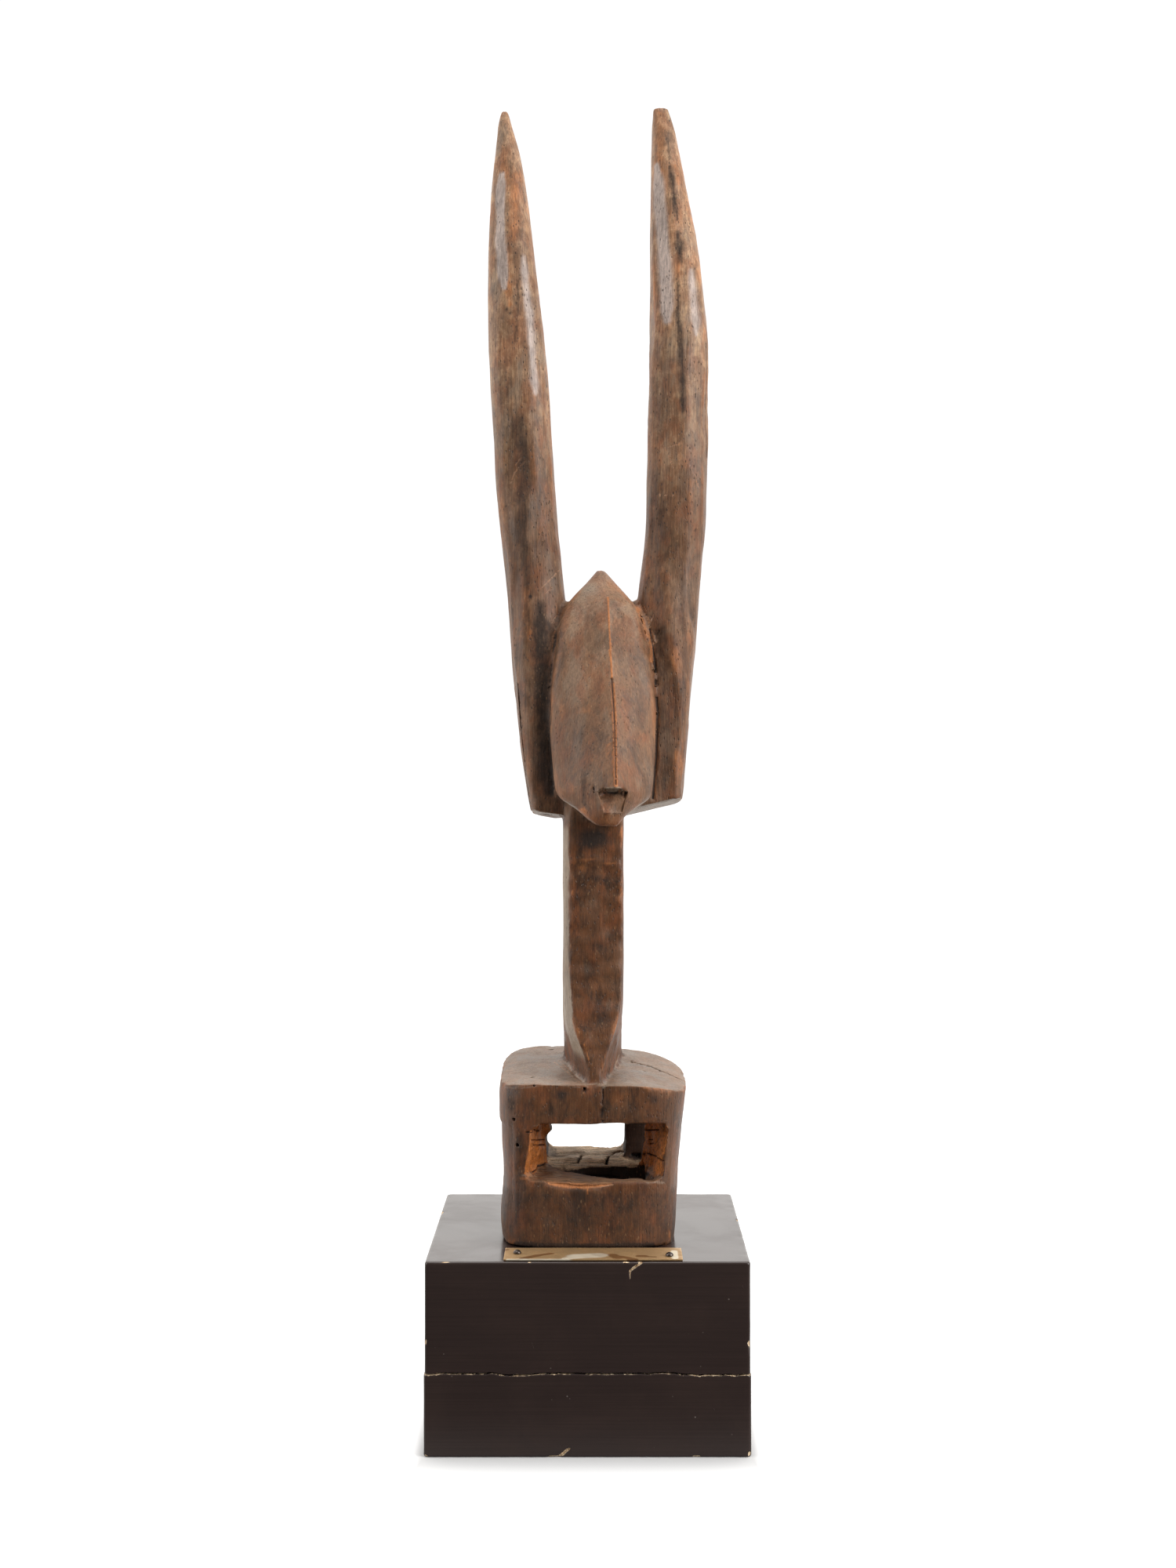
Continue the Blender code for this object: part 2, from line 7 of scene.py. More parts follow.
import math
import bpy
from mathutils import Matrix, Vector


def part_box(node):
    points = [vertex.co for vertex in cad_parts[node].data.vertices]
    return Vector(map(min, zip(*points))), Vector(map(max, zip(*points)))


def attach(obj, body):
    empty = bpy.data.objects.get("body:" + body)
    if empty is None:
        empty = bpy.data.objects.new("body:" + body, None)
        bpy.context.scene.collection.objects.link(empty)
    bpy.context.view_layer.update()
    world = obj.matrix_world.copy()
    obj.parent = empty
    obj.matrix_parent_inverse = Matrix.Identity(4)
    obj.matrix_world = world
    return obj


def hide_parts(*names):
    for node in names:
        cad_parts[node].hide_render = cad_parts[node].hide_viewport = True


bl_info = {
    "name": "Carved antelope crest",
    "version": (1, 0, 0),
    "blender": (4, 5, 0),
    "location": "View3D > Sidebar > Crest",
    "description": "Makes the worn wood, the chipped paint, the old brass and a plain studio for them",
    "category": "Object",
}

import bmesh
import bpy
import numpy as np
from bpy.props import FloatProperty, FloatVectorProperty, PointerProperty
from mathutils import Vector
from mathutils.bvhtree import BVHTree

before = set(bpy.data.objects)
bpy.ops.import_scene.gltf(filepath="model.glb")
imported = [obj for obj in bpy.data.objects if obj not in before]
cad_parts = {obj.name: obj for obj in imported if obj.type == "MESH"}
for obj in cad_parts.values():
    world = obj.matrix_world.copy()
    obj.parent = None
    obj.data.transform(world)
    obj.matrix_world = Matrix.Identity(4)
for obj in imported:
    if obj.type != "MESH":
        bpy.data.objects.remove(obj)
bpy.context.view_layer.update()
MM = 1000.0

# The camera, level and straight ahead of the face, in millimetres and pixels
CAMERA_PLACE = (5.8, -1079.0, 332.6)
LENS = 50.0
SENSOR = 36.0
PHOTO_SIZE = (1500, 2000)
FOCAL_PIXELS = LENS / SENSOR * PHOTO_SIZE[1]
PHOTO_CENTRE = (765.4, 938.6)

# Heights on the figure, in millimetres above the ground
FIGURE_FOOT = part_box("antelope_figure")[0].z * MM
TRUNK_FRONT = -50.8
SLAB_TOP = FIGURE_FOOT + 31.7
BELLY = FIGURE_FOOT + 58.5
BACK = FIGURE_FOOT + 74.0
NECK_TOP = FIGURE_FOOT + 203.0
EAR_TOP = FIGURE_FOOT + 300.0
WAIST = TRUNK_FRONT + 40.8

# Corners of a box round the window's inside
WINDOW_LOW = (-38.0, TRUNK_FRONT - 1, SLAB_TOP - 10)
WINDOW_HIGH = (41.0, WAIST + 14, BELLY + 2)

# Random flats that the adze leaves all over: how many, and by the part of the figure that they fall in,
# half width, half height and depth
FLAT_COUNT = 620
ADZE_FLATS = (
    ("inside", 6.0, 6.0, 0.35),
    ("horns", 7.0, 30.0, 0.34),
    ("neck", 11.0, 7.0, 0.22),
    ("above_neck", 8.0, 18.0, 0.35),
    ("up", 12.0, 6.0, 0.10),
)
TRUNK_FLAT = (9.0, 14.0, 0.26)

# Cracks as seen from the front: path, half width and depth
CRACKS = (
    (((769.6, 1389), (769.2, 1402), (768.4, 1418), (768.8, 1433)), 0.14, 0.9),
    (((806, 1354), (830, 1360), (852, 1369), (876, 1380)), 0.30, 1.2),
    (((823, 1471), (835, 1475), (846, 1481)), 0.30, 1.3),
    (((728, 1480), (737, 1480.5), (742, 1472), (750, 1471.5), (768, 1473)), 0.55, 2.0),
    (((773, 1483), (775, 1476), (783, 1469), (797, 1468), (806, 1472), (821, 1472.5)), 0.6, 2.2),
    (((757, 1004), (757.4, 1011)), 0.3, 0.9),
    (((660, 872), (664.5, 930), (670, 985), (677, 1031)), 0.34, 1.0),
    (((671, 1444.5), (690, 1443)), 0.28, 1.1),
    (((680, 1454.5), (697, 1453.5)), 0.26, 1.2),
    (((682, 1461), (697, 1460)), 0.26, 1.2),
    (((681, 1454), (681.5, 1492)), 0.22, 1.0),
    (((690, 1454), (690, 1488)), 0.22, 1.0),
    (((683, 1493), (697, 1483)), 0.30, 1.0),
    (((822, 1441.5), (839, 1441)), 0.28, 1.1),
    (((825, 1453), (832, 1453.5), (832, 1458), (826, 1458)), 0.25, 0.9),
    (((822, 1499), (832, 1504)), 0.45, 1.2),
    (((735, 1494.5), (765, 1498.5), (790, 1501)), 0.35, 0.8),
    (((690, 1038), (703, 1041), (717, 1042)), 0.3, 0.6),
)

# Cracks on the sides that the front doesn't show, as places near the wood: path, half width and depth
HIDDEN_CRACKS = (
    (((49, 8, 172), (49, 10, 150), (47, 9, 128)), 0.5, 1.6),
    (((-45, -18, 121), (-45, -15, 104), (-44, -16, 91)), 0.45, 1.5),
    (((12, 42, 168), (13, 42, 152)), 0.5, 1.8),
    (((-20, 42, 120), (-19, 42, 104), (-21, 42, 92)), 0.45, 1.5),
    (((-30, 18, 330), (-33, 20, 365), (-36, 20, 402), (-37, 20, 420)), 0.45, 1.5),
    (((42, 18, 318), (45, 20, 352), (47, 20, 380)), 0.45, 1.4),
    (((4, 20, 190), (3, 20, 232), (5, 20, 262)), 0.4, 1.3),
    (((60, -5, 470), (60, -6, 500), (59, -6, 526)), 0.35, 0.9),
)

# Round holes left by beetles: place in the photograph, radius in millimetres
WORMHOLES = (
    (655.5, 1428, 0.8),
    (660, 1460.6, 0.8),
    (678.6, 1374, 0.6),
    (681, 1384.5, 0.6),
    (745.7, 1389, 0.65),
    (806, 1353, 0.6),
    (704.5, 1338.6, 0.5),
    (822, 1365, 0.5),
)
HIDDEN_WORMHOLES = (
    (-46, 5, 160, 0.75),
    (49, 22, 140, 0.8),
    (-10, 42, 165, 0.75),
    (25, 42, 158, 0.7),
    (30, 42, 105, 0.8),
    (-45, 20, 110, 0.7),
    (-38, 25, 350, 0.7),
    (50, 28, 420, 0.7),
)

# Fine pale scratches: path and half width
SCRATCHES = (
    (((671, 587), (662, 594), (655, 603), (650, 616)), 0.3),
    (((664, 583), (657, 592)), 0.25),
    (((845, 567), (853, 583), (860, 601)), 0.25),
    (((840, 632), (851, 631), (861, 633)), 0.25),
    (((852, 570), (866, 566)), 0.22),
    (((880, 592), (887, 606), (892, 621)), 0.25),
    (((692, 749), (703, 738), (714, 727)), 0.22),
    (((697, 756), (706, 747)), 0.2),
    (((704.5, 816), (708, 805), (713, 794)), 0.22),
    (((706, 793), (711, 784), (717, 776)), 0.25),
    (((700, 830), (703, 818)), 0.22),
    (((694, 1507), (706, 1511.5), (745, 1514.8), (765, 1514), (782, 1511)), 0.3),
    (((706, 1354), (724, 1367), (741, 1380)), 0.25),
    (((712, 1352), (728, 1366), (744, 1379)), 0.22),
)

# Rows of scratches left by a blade: first scratch, step to the next, how many, half width
SCRATCH_ROWS = (
    (((813, 774), (819, 786), (826, 806)), (2.3, 2.0), 7, 0.22),
    (((835, 806), (833, 822)), (0.6, 11.0), 4, 0.2),
    (((809, 768), (812, 774)), (3.0, 1.2), 5, 0.22),
)

# Flat cuts of the adze that the photograph shows: place, half width, half height, turn to the side, depth
FACETS = (
    (640, 285, 5.5, 32.0, -0.25, 0.50),
    (656, 268, 5.0, 26.0, 0.05, 0.40),
    (671, 362, 5.0, 24.0, 0.28, 0.45),
    (680, 450, 6.0, 30.0, 0.30, 0.50),
    (839, 245, 5.5, 20.0, -0.20, 0.40),
    (848, 335, 6.5, 36.0, -0.22, 0.60),
    (886, 385, 6.0, 26.0, 0.35, 0.50),
    (866, 275, 5.0, 22.0, 0.15, 0.40),
    (652, 470, 7.0, 28.0, -0.15, 0.45),
    (655, 640, 7.0, 40.0, -0.15, 0.50),
    (688, 600, 7.0, 36.0, 0.25, 0.45),
    (850, 520, 7.0, 34.0, -0.20, 0.50),
    (884, 520, 7.0, 40.0, 0.30, 0.50),
    (852, 650, 7.5, 36.0, -0.10, 0.45),
    (886, 700, 7.0, 44.0, 0.25, 0.50),
    (660, 800, 7.0, 40.0, -0.20, 0.50),
    (864, 820, 8.0, 44.0, 0.10, 0.40),
)

# Long soft marks: kind, path, half width, strength and how far the wood stands out or is cut in. Some stain
# marks are painted shade, and some pale and silver marks are painted highlights
STREAKS = (
    ("worn", ((775.3, 762), (777.0, 797), (779.4, 845), (781.2, 880)), 0.42, 0.9, 0.30),
    ("worn", ((781.4, 872), (784.0, 918), (785.8, 1001)), 1.0, 0.9, 0.25),
    ("fine", ((780.2, 866), (781.8, 890), (783.8, 920), (785.0, 965), (785.4, 1000)), 0.50, 0.9, -0.9),
    ("worn", ((812, 774), (822, 792), (830, 816), (834.5, 850)), 2.2, 0.55, -0.3),
    ("worn", ((837, 858), (838.5, 900), (837.5, 960), (834.5, 1010)), 0.9, 0.5, 0.0),
    # Painted shade in the gutters between the face and the horns
    ("stain_and_shade", ((832, 800), (837, 850), (839, 905), (837.5, 965), (833, 1018)), 0.6, 0.85, -0.5),
    ("stain_and_shade", ((721, 775), (711, 800), (704, 840), (700.5, 890), (701, 945), (705, 1012)), 0.8, 0.85, -0.5),
    ("worn", ((712, 792), (706, 818), (703, 850)), 0.8, 0.5, 0.0),
    ("worn", ((704, 880), (703, 940)), 1.2, 0.45, 0.0),
    ("edge", ((672, 775), (674.5, 821), (678, 894), (682, 942), (684, 993)), 3.0, 0.0, 0.7),
    # Painted shade on the horns' inner sides beside the head
    ("stain_and_shade", ((688, 770), (691, 860), (694, 940), (698, 1008)), 5.4, 0.62, -0.3),
    ("stain_and_shade", ((846, 800), (851, 900), (848, 1005)), 4.6, 0.46, 0.0),
    ("stain_and_shade", ((869, 720), (874, 820), (872, 930)), 2.2, 0.42, 0.0),
    ("stain_and_shade", ((851, 165), (854, 205)), 1.2, 0.55, -0.2),
    ("stain_and_shade", ((855, 212), (860, 250), (864, 280)), 2.2, 0.62, 0.0),
    ("stain_and_shade", ((865, 296), (868, 332)), 3.4, 0.62, 0.0),
    ("stain_and_shade", ((864, 350), (865, 395)), 0.9, 0.60, 0.0),
    ("stain_and_shade", ((864, 390), (868, 440), (872, 525)), 2.0, 0.62, -0.1),
    ("stain_and_shade", ((649, 200), (651, 225)), 1.5, 0.55, 0.0),
    ("stain_and_shade", ((657, 318), (660, 360), (659, 410), (657, 440)), 1.1, 0.58, -0.1),
    ("stain_and_shade", ((646, 395), (656, 402)), 1.6, 0.60, 0.0),
    ("stain_and_shade", ((651, 478), (647, 505)), 3.0, 0.48, 0.0),
    ("stain_and_shade", ((664, 530), (667, 600), (668, 690), (672, 745)), 4.2, 0.52, 0.0),
    ("worn", ((656, 222), (657, 262), (656, 306)), 3.4, 0.54, 0.0),
    ("worn", ((646, 318), (649, 345)), 1.6, 0.50, 0.0),
    ("worn", ((648, 350), (650, 388)), 2.6, 0.52, 0.0),
    ("worn", ((861, 205), (867, 240)), 1.8, 0.50, 0.0),
    ("worn", ((838, 258), (840, 292)), 2.4, 0.55, 0.0),
    ("worn", ((834, 360), (833, 390), (834, 420)), 1.6, 0.60, 0.0),
    ("worn", ((866, 255), (865, 285), (869, 305)), 3.6, 0.45, 0.0),
    ("worn", ((864, 324), (866, 356)), 3.0, 0.48, 0.0),
    # Silver grey flats on the horns: partly polish, partly a painted highlight where the flats catch the
    # light
    ("polish_and_highlight", ((640, 222), (637, 255), (637, 310), (640, 340), (643, 366)), 2.7, 0.86, 0.0),
    ("polish_and_highlight", ((668, 328), (672, 365), (676, 400), (680, 450), (684, 500)), 2.9, 0.66, 0.0),
    ("polish_and_highlight", ((837, 212), (841, 265), (847, 330), (850, 385), (850, 408)), 3.7, 0.80, 0.0),
    ("polish_and_highlight", ((883, 346), (886, 385), (889, 425)), 3.0, 0.64, 0.0),
    ("pale", ((719, 1344), (726, 1360), (738, 1374), (749, 1385)), 1.0, 0.55, -0.3),
    ("pale", ((792, 1344), (786, 1358), (779, 1372), (771, 1387)), 1.0, 0.55, -0.3),
    ("worn", ((745, 1332), (749, 1345), (752, 1355)), 0.5, 0.5, 0.0),
    ("worn", ((695, 1506.0), (715, 1508.5), (745, 1510.0), (776, 1508.5)), 1.9, 1.0, -1.3),
    ("worn", ((749.5, 1516), (749.5, 1523)), 0.5, 0.6, 0.0),
    ("stain_and_shade", ((640, 1586), (660, 1590), (750, 1592), (840, 1591), (860, 1586)), 2.2, 0.9, 0.0),
    ("pale", ((643, 1387), (665, 1388), (700, 1383), (740, 1387)), 0.6, 0.4, 0.0),
    ("pale", ((680, 1436.5), (720, 1434.5), (790, 1434.5), (855, 1438)), 0.6, 0.35, 0.0),
    ("pale", ((666, 1499), (700, 1497.5), (760, 1500), (815, 1505), (848, 1509)), 1.1, 0.5, 0.0),
    ("worn", ((664, 1503), (690, 1505)), 0.8, 0.5, 0.0),
    # The nose's lip: a painted highlight on its top and a painted shadow under it
    ("pale", ((763, 1009), (775, 1005.5), (790, 1004.5), (800, 1008)), 0.6, 0.6, 0.1),
    ("stain_and_shade", ((764, 1011.5), (799, 1011.5)), 0.7, 0.7, 0.0),
    ("stain_and_shade", ((663, 1500), (668, 1560), (666, 1588)), 3.6, 0.45, 0.0),
    ("worn", ((728.5, 1088), (729, 1110), (729.5, 1140)), 0.7, 0.6, 0.0),
    ("worn", ((729, 1101), (748, 1095.5), (770, 1100), (790, 1103)), 1.0, 0.42, 0.25),
)

# Soft patches: kind, place, half width and half height in millimetres, strength. Some stain patches are
# painted shadow, and some pale ones are painted light
PATCHES = (
    ("worn", 642, 452, 2.4, 9.0, 0.30),
    ("worn", 662, 520, 2.8, 8.0, 0.34),
    ("worn", 834, 520, 1.6, 16.0, 0.40),
    ("worn", 676, 808, 2.2, 6.0, 0.50),
    ("worn", 851, 770, 2.8, 10.0, 0.35),
    ("worn", 746, 905, 8.0, 4.0, 0.36),
    ("worn", 716, 905, 2.6, 7.0, 0.45),
    ("worn", 776, 955, 1.6, 7.0, 0.55),
    ("worn", 727, 1005, 3.5, 6.0, 0.35),
    ("worn", 800, 1000, 5.0, 8.0, 0.25),
    ("worn", 743, 1034, 2.1, 1.5, 1.0),
    ("worn", 781.5, 1115, 0.9, 1.1, 0.9),
    ("worn", 742, 1108, 4.0, 3.0, 0.42),
    ("worn", 762, 1255, 5.0, 8.0, 0.36),
    ("worn", 768, 1362, 3.0, 5.0, 0.40),
    ("worn", 692, 1404, 7.0, 4.0, 0.30),
    ("worn", 792, 1402, 9.0, 5.0, 0.36),
    ("worn", 842, 1390, 5.0, 2.0, 0.36),
    ("worn", 854, 1572, 0.6, 3.0, 0.8),
    ("worn", 770, 1545, 8.0, 6.0, 0.25),
    ("stain_and_shade", 655, 545, 3.6, 9.0, 0.50),
    ("stain_and_shade", 676, 760, 1.3, 2.0, 0.75),
    ("stain_and_shade", 880, 600, 3.6, 18.0, 0.36),
    ("stain_and_shade", 845, 700, 2.8, 20.0, 0.36),
    ("stain_and_shade", 850, 905, 4.0, 30.0, 0.36),
    ("stain_and_shade", 762, 905, 3.6, 3.6, 0.50),
    ("stain_and_shade", 765, 870, 2.8, 9.0, 0.40),
    ("stain_and_shade", 745, 1004, 2.4, 11.0, 0.55),
    ("stain_and_shade", 735, 830, 5.0, 7.0, 0.32),
    ("stain_and_shade", 722, 950, 3.0, 10.0, 0.34),
    # Painted shadow of the chin on the top of the neck
    ("stain_and_shade", 757, 1070, 11.0, 6.5, 0.74),
    ("stain_and_shade", 765, 1122, 7.0, 3.0, 0.52),
    ("stain_and_shade", 745, 1175, 5.0, 5.0, 0.42),
    ("stain_and_shade", 762, 1208, 8.0, 4.0, 0.46),
    ("stain_and_shade", 770, 1300, 5.0, 8.0, 0.45),
    ("stain_and_shade", 716, 1396, 5.0, 3.4, 0.62),
    ("stain_and_shade", 652, 1408, 3.5, 6.0, 0.58),
    ("stain_and_shade", 835, 1402, 4.2, 3.6, 0.52),
    ("stain_and_shade", 697, 1420, 5.0, 2.8, 0.42),
    ("stain_and_shade", 790, 1425, 5.0, 2.6, 0.34),
    ("stain_and_shade", 760, 1574, 26.0, 4.0, 0.42),
    ("stain_and_shade", 715, 1538, 8.0, 6.0, 0.36),
    ("stain_and_shade", 790, 1556, 9.0, 7.0, 0.40),
    ("stain_and_shade", 742, 1560, 8.0, 6.0, 0.36),
    ("stain_and_shade", 738, 1415, 6.0, 4.0, 0.32),
    ("stain_and_shade", 815, 1418, 4.0, 4.0, 0.36),
    ("pale", 758, 1150, 5.0, 5.0, 0.36),
    ("pale", 772, 1192, 5.0, 6.0, 0.36),
    ("pale", 748, 1236, 5.0, 6.0, 0.32),
    ("pale", 778, 1282, 4.0, 6.0, 0.36),
    ("pale", 752, 1322, 4.0, 4.0, 0.36),
    ("pale", 775, 1412, 7.0, 4.0, 0.26),
    ("pale", 680, 1400, 6.0, 5.0, 0.24),
    ("pale", 700, 1560, 10.0, 5.0, 0.22),
    ("pale", 820, 1575, 8.0, 4.0, 0.26),
    ("stain_and_shade", 835, 1530, 5.0, 7.0, 0.42),
    ("stain_and_shade", 672, 1550, 3.0, 9.0, 0.46),
    # Painted light from above on the crown's facets, and from the right on the face's right side by the
    # ridge
    ("pale", 752, 752, 8.0, 7.0, 0.62),
    ("pale", 790, 756, 5.0, 8.0, 0.42),
    ("pale", 798, 850, 4.0, 22.0, 0.34),
    ("pale", 640, 1560, 1.0, 12.0, 0.45),
)

# Corners of the cut under the nose as the photograph shows them, and of the rough end grain under it
MOUTH_TOP, MOUTH_FOOT = 1010.5, 1036.0
MOUTH_LEFT, MOUTH_RIGHT = (762.5, 770.5), (800.5, 793.0)
CHIN_GRAIN = (770.0, 792.0, 1037.5, 1055.0)

# Chips in the plinth's paint, in millimetres: place, radius and depth
UPPER_CHIPS = (
    *(((24.6 - 0.55 * i, -75.1, 89.7 - 0.42 * i), (1.1 - 0.06 * i, 1.4, 0.75), 0.45) for i in range(10)),
    ((24.4, -74.8, 90.0), (1.8, 1.5, 0.8), 0.4),
    ((17.5, -74.8, 90.0), (2.4, 1.2, 0.4), 0.25),
    ((-67.0, -74.9, 90.0), (5.0, 0.8, 0.5), 0.2),
    ((-26.5, -75.0, 90.0), (1.2, 1.0, 0.6), 0.3),
    ((75.2, -75.0, 52.0), (1.2, 1.8, 2.6), 0.6),
    ((-75.2, -75.0, 53.0), (1.0, 1.6, 1.8), 0.4),
    ((75.2, -75.0, 89.8), (1.2, 1.2, 1.2), 0.4),
    ((-75.2, 30.0, 89.9), (1.2, 6.0, 1.0), 0.4),
    ((75.2, 12.0, 90.0), (1.2, 3.2, 1.4), 0.6),
    ((-20.0, 75.0, 90.0), (7.0, 1.2, 1.0), 0.5),
    ((75.2, 75.0, 60.0), (1.5, 1.5, 4.0), 0.6),
)
LOWER_CHIPS = (
    *(((-8.6 - 0.6 * i, -75.2, 4.0 - 0.5 * i), (0.8 + 0.05 * i, 1.4, 0.7), 0.5) for i in range(8)),
    ((-15.0, -75.2, 0.3), (3.4, 1.5, 0.7), 0.4),
    ((75.4, -75.2, 1.2), (1.6, 1.6, 1.8), 0.8),
    ((-75.4, -75.2, 0.6), (2.0, 1.4, 0.9), 0.5),
    ((50.0, -75.4, 0.3), (2.4, 1.2, 0.6), 0.4),
    ((-75.4, -20.0, 0.4), (1.2, 4.0, 1.0), 0.6),
    ((30.0, 75.4, 0.5), (4.0, 1.2, 1.0), 0.6),
)


# Patches on the brass, seen from above in millimetres: kind, from and to, half width. The bright patches
# are painted reflections
PLATE_PATCHES = (
    ("brown", (-29.5, -72.5), (-23.5, -67.0), 2.4),
    ("brown", (-23.5, -67.0), (-17.0, -63.0), 1.7),
    ("brown", (11.5, -66.0), (14.0, -71.0), 3.0),
    ("brown", (15.0, -69.0), (21.5, -74.0), 2.2),
    ("brown", (24.0, -68.0), (26.5, -68.0), 2.2),
    ("brown", (27.0, -69.0), (31.5, -69.6), 1.0),
    ("brown", (-43.0, -60.0), (-38.0, -55.0), 1.4),
    ("painted_reflection", (-5.5, -68.5), (5.0, -66.5), 5.0),
    ("painted_reflection", (-10.0, -72.5), (-2.0, -70.0), 2.2),
    ("painted_reflection", (40.5, -58.0), (40.5, -72.0), 1.8),
    ("painted_reflection", (-37.0, -74.0), (-10.0, -74.0), 0.7),
)

# Height of a pin's domed head and radius of its shank, and half the plinth's width, in metres
PIN_HEAD = 0.0015
PIN_SHANK = 0.0008
PLINTH_HALF = 0.0754

# The upper left corner of the view through the window, and how far its slant runs each way, in pixels
SLANT_CORNER = (697.5, 1433.5)
SLANT = 14.0


def from_screen(red, green, blue):
    """A colour as a screen shows it, 0 to 255, as the light that a shader needs."""
    shares = [value / 255 for value in (red, green, blue)]
    return tuple(v / 12.92 if v <= 0.04045 else ((v + 0.055) / 1.055) ** 2.4 for v in shares)


WHITE = (1.0, 1.0, 1.0)
# Near black inside cracks, beetle holes and fine grooves: painted shade in gaps too narrow for the mesh to
# shade
CRACK_SHADE_BLACK = from_screen(22, 14, 10)
# Lighter brown grey painted on the near bank of the window's floor as a sheen of light from above
BANK_SHEEN_BROWN = from_screen(124, 94, 68)
FLECK_TAN = from_screen(186, 146, 106)


def colour_choice(name, description, default):
    return FloatVectorProperty(
        name=name, description=description, subtype="COLOR", size=3, min=0, max=1, default=default
    )


def length_choice(name, description, default):
    return FloatProperty(
        name=name, description=description, unit="LENGTH", min=0.0, default=default, precision=5
    )


class CarvingChoices(bpy.types.PropertyGroup):
    """Sizes and colours of the carved wood."""

    skin_step: length_choice("Skin step", "Size of the even faces that the carving starts from", 0.00196)
    detail_step: length_choice("Detail step", "Longest edge beside a crack, a hole or a scratch", 0.0004)
    wave: length_choice("Waves", "How far the hand-cut faces wander from true", 0.0005)
    grain_depth: length_choice("Grain", "Depth of the open grain", 0.0003)
    patina: colour_choice("Patina", "Brown of the handled wood", from_screen(152, 115, 86))
    deep_patina: colour_choice("Deep patina", "Darker brown of neck and trunk", from_screen(102, 64, 37))
    bare: colour_choice("Worn wood", "Orange wood where the patina has gone", from_screen(176, 110, 62))
    tan: colour_choice("Thin patina", "Olive tan where the patina is thin", from_screen(182, 148, 114))
    rust: colour_choice("Rust", "Red-brown blotches", from_screen(138, 78, 44))
    # Near black of real stains, also used as painted shade in hollows, gutters, inside the window and under
    # the chin
    soot_and_shade: colour_choice("Stains", "Near black of old stains", from_screen(42, 32, 26))
    # Grey of real dust, also used as painted sheen and painted bounced light on tops, the neck's left side
    # and undersides
    dust_and_sheen: colour_choice("Dust", "Grey film on tops and in hollows", from_screen(154, 136, 117))
    # Silver grey of the flats: partly polish, partly a painted highlight
    polish_and_highlight: colour_choice("Polish", "Silver grey of the rubbed flats", from_screen(184, 166, 156))
    raw: colour_choice("Cut wood", "Orange brown of the rough walls inside", from_screen(210, 126, 58))
    torn: colour_choice("Torn wood", "Grey of the torn floor inside", from_screen(212, 184, 152))


class PlinthChoices(bpy.types.PropertyGroup):
    """Sizes and colours of the painted boards."""

    edge: length_choice("Eased edge", "Radius that sandpaper left on the boards' edges", 0.0011)
    seam_wear: length_choice("Seam wear", "How far the paint has broken away beside the seam", 0.0005)
    paint: colour_choice("Paint", "Dark brown paint", from_screen(49, 37, 34))
    board: colour_choice("Bare board", "Pale wood under the chips", from_screen(226, 206, 174))


class PlateChoices(bpy.types.PropertyGroup):
    """Sizes and colours of the brass plate and its pins."""

    edge: length_choice("Plate edge", "Radius of the plate's filed edges", 0.0002)
    dent: length_choice("Plate dents", "How far the thin sheet is out of flat", 0.00012)
    brass: colour_choice("Brass", "Bright brass", from_screen(206, 172, 126))
    tarnish: colour_choice("Tarnish", "Brown film on the brass", from_screen(112, 72, 34))
    steel: colour_choice("Pins", "Dark steel of the pins", from_screen(92, 84, 80))


class StageChoices(bpy.types.PropertyGroup):
    """The plain studio."""

    floor: colour_choice("Floor", "Pale floor", (0.62, 0.62, 0.62))
    room: FloatProperty(
        name="Room light", description="Strength of the light all round", min=0.0, default=1.0
    )
    key: FloatProperty(
        name="Soft boxes", description="Power of the soft boxes", subtype="POWER", min=0.0, default=1.0
    )


# Steady noise, worked out at points in millimetres
def scattered(cells, seed):
    """A steady random number from 0 to 1 for each whole-numbered cell."""
    mixed = cells.astype(np.int64) @ np.array([73856093, 19349663, 83492791], np.int64)
    mixed = (mixed + seed * 2654435761).astype(np.uint32)
    for shift, factor in ((16, 0x7FEB352D), (15, 0x846CA68B)):
        mixed ^= mixed >> np.uint32(shift)
        mixed *= np.uint32(factor)
    mixed ^= mixed >> np.uint32(16)
    return mixed / 2.0**32


def soft_noise(points, size, seed):
    """Smooth noise from 0 to 1 with lumps of a size, one number or one for each axis."""
    place = points / np.asarray(size, float)
    cell = np.floor(place)
    part = place - cell
    part = part * part * (3 - 2 * part)
    total = np.zeros(len(points))
    for corner in np.ndindex(2, 2, 2):
        step = np.array(corner)
        weight = np.prod(np.where(step == 1, part, 1 - part), axis=1)
        total += weight * scattered(cell + step, seed)
    return total


def cut_cells(points, size, seed):
    """0 in the middle of each cell of an uneven net and towards 1 on the ridges between cells."""
    place = points / np.asarray(size, float)
    cell = np.floor(place)
    nearest = np.full(len(points), 9.0)
    for step in np.ndindex(3, 3, 3):
        near = cell + np.array(step) - 1
        jitter = np.stack([scattered(near, seed + axis) for axis in range(3)], axis=1)
        nearest = np.minimum(nearest, ((near + jitter - place) ** 2).sum(axis=1))
    return np.clip(nearest, 0, 1)


def ease(value, low, high):
    """0 below low, 1 above high, and a soft step between."""
    share = np.clip((value - low) / (high - low), 0, 1)
    return share * share * (3 - 2 * share)


def between(value, low, high):
    """1 between low and high, with soft ends one unit long inside them."""
    return ease(value, low, low + 1) * (1 - ease(value, high - 1, high))


def leave(marks, kind, amount):
    """Makes a kind of mark at least as strong as an amount."""
    marks[kind] = np.maximum(marks[kind], amount)


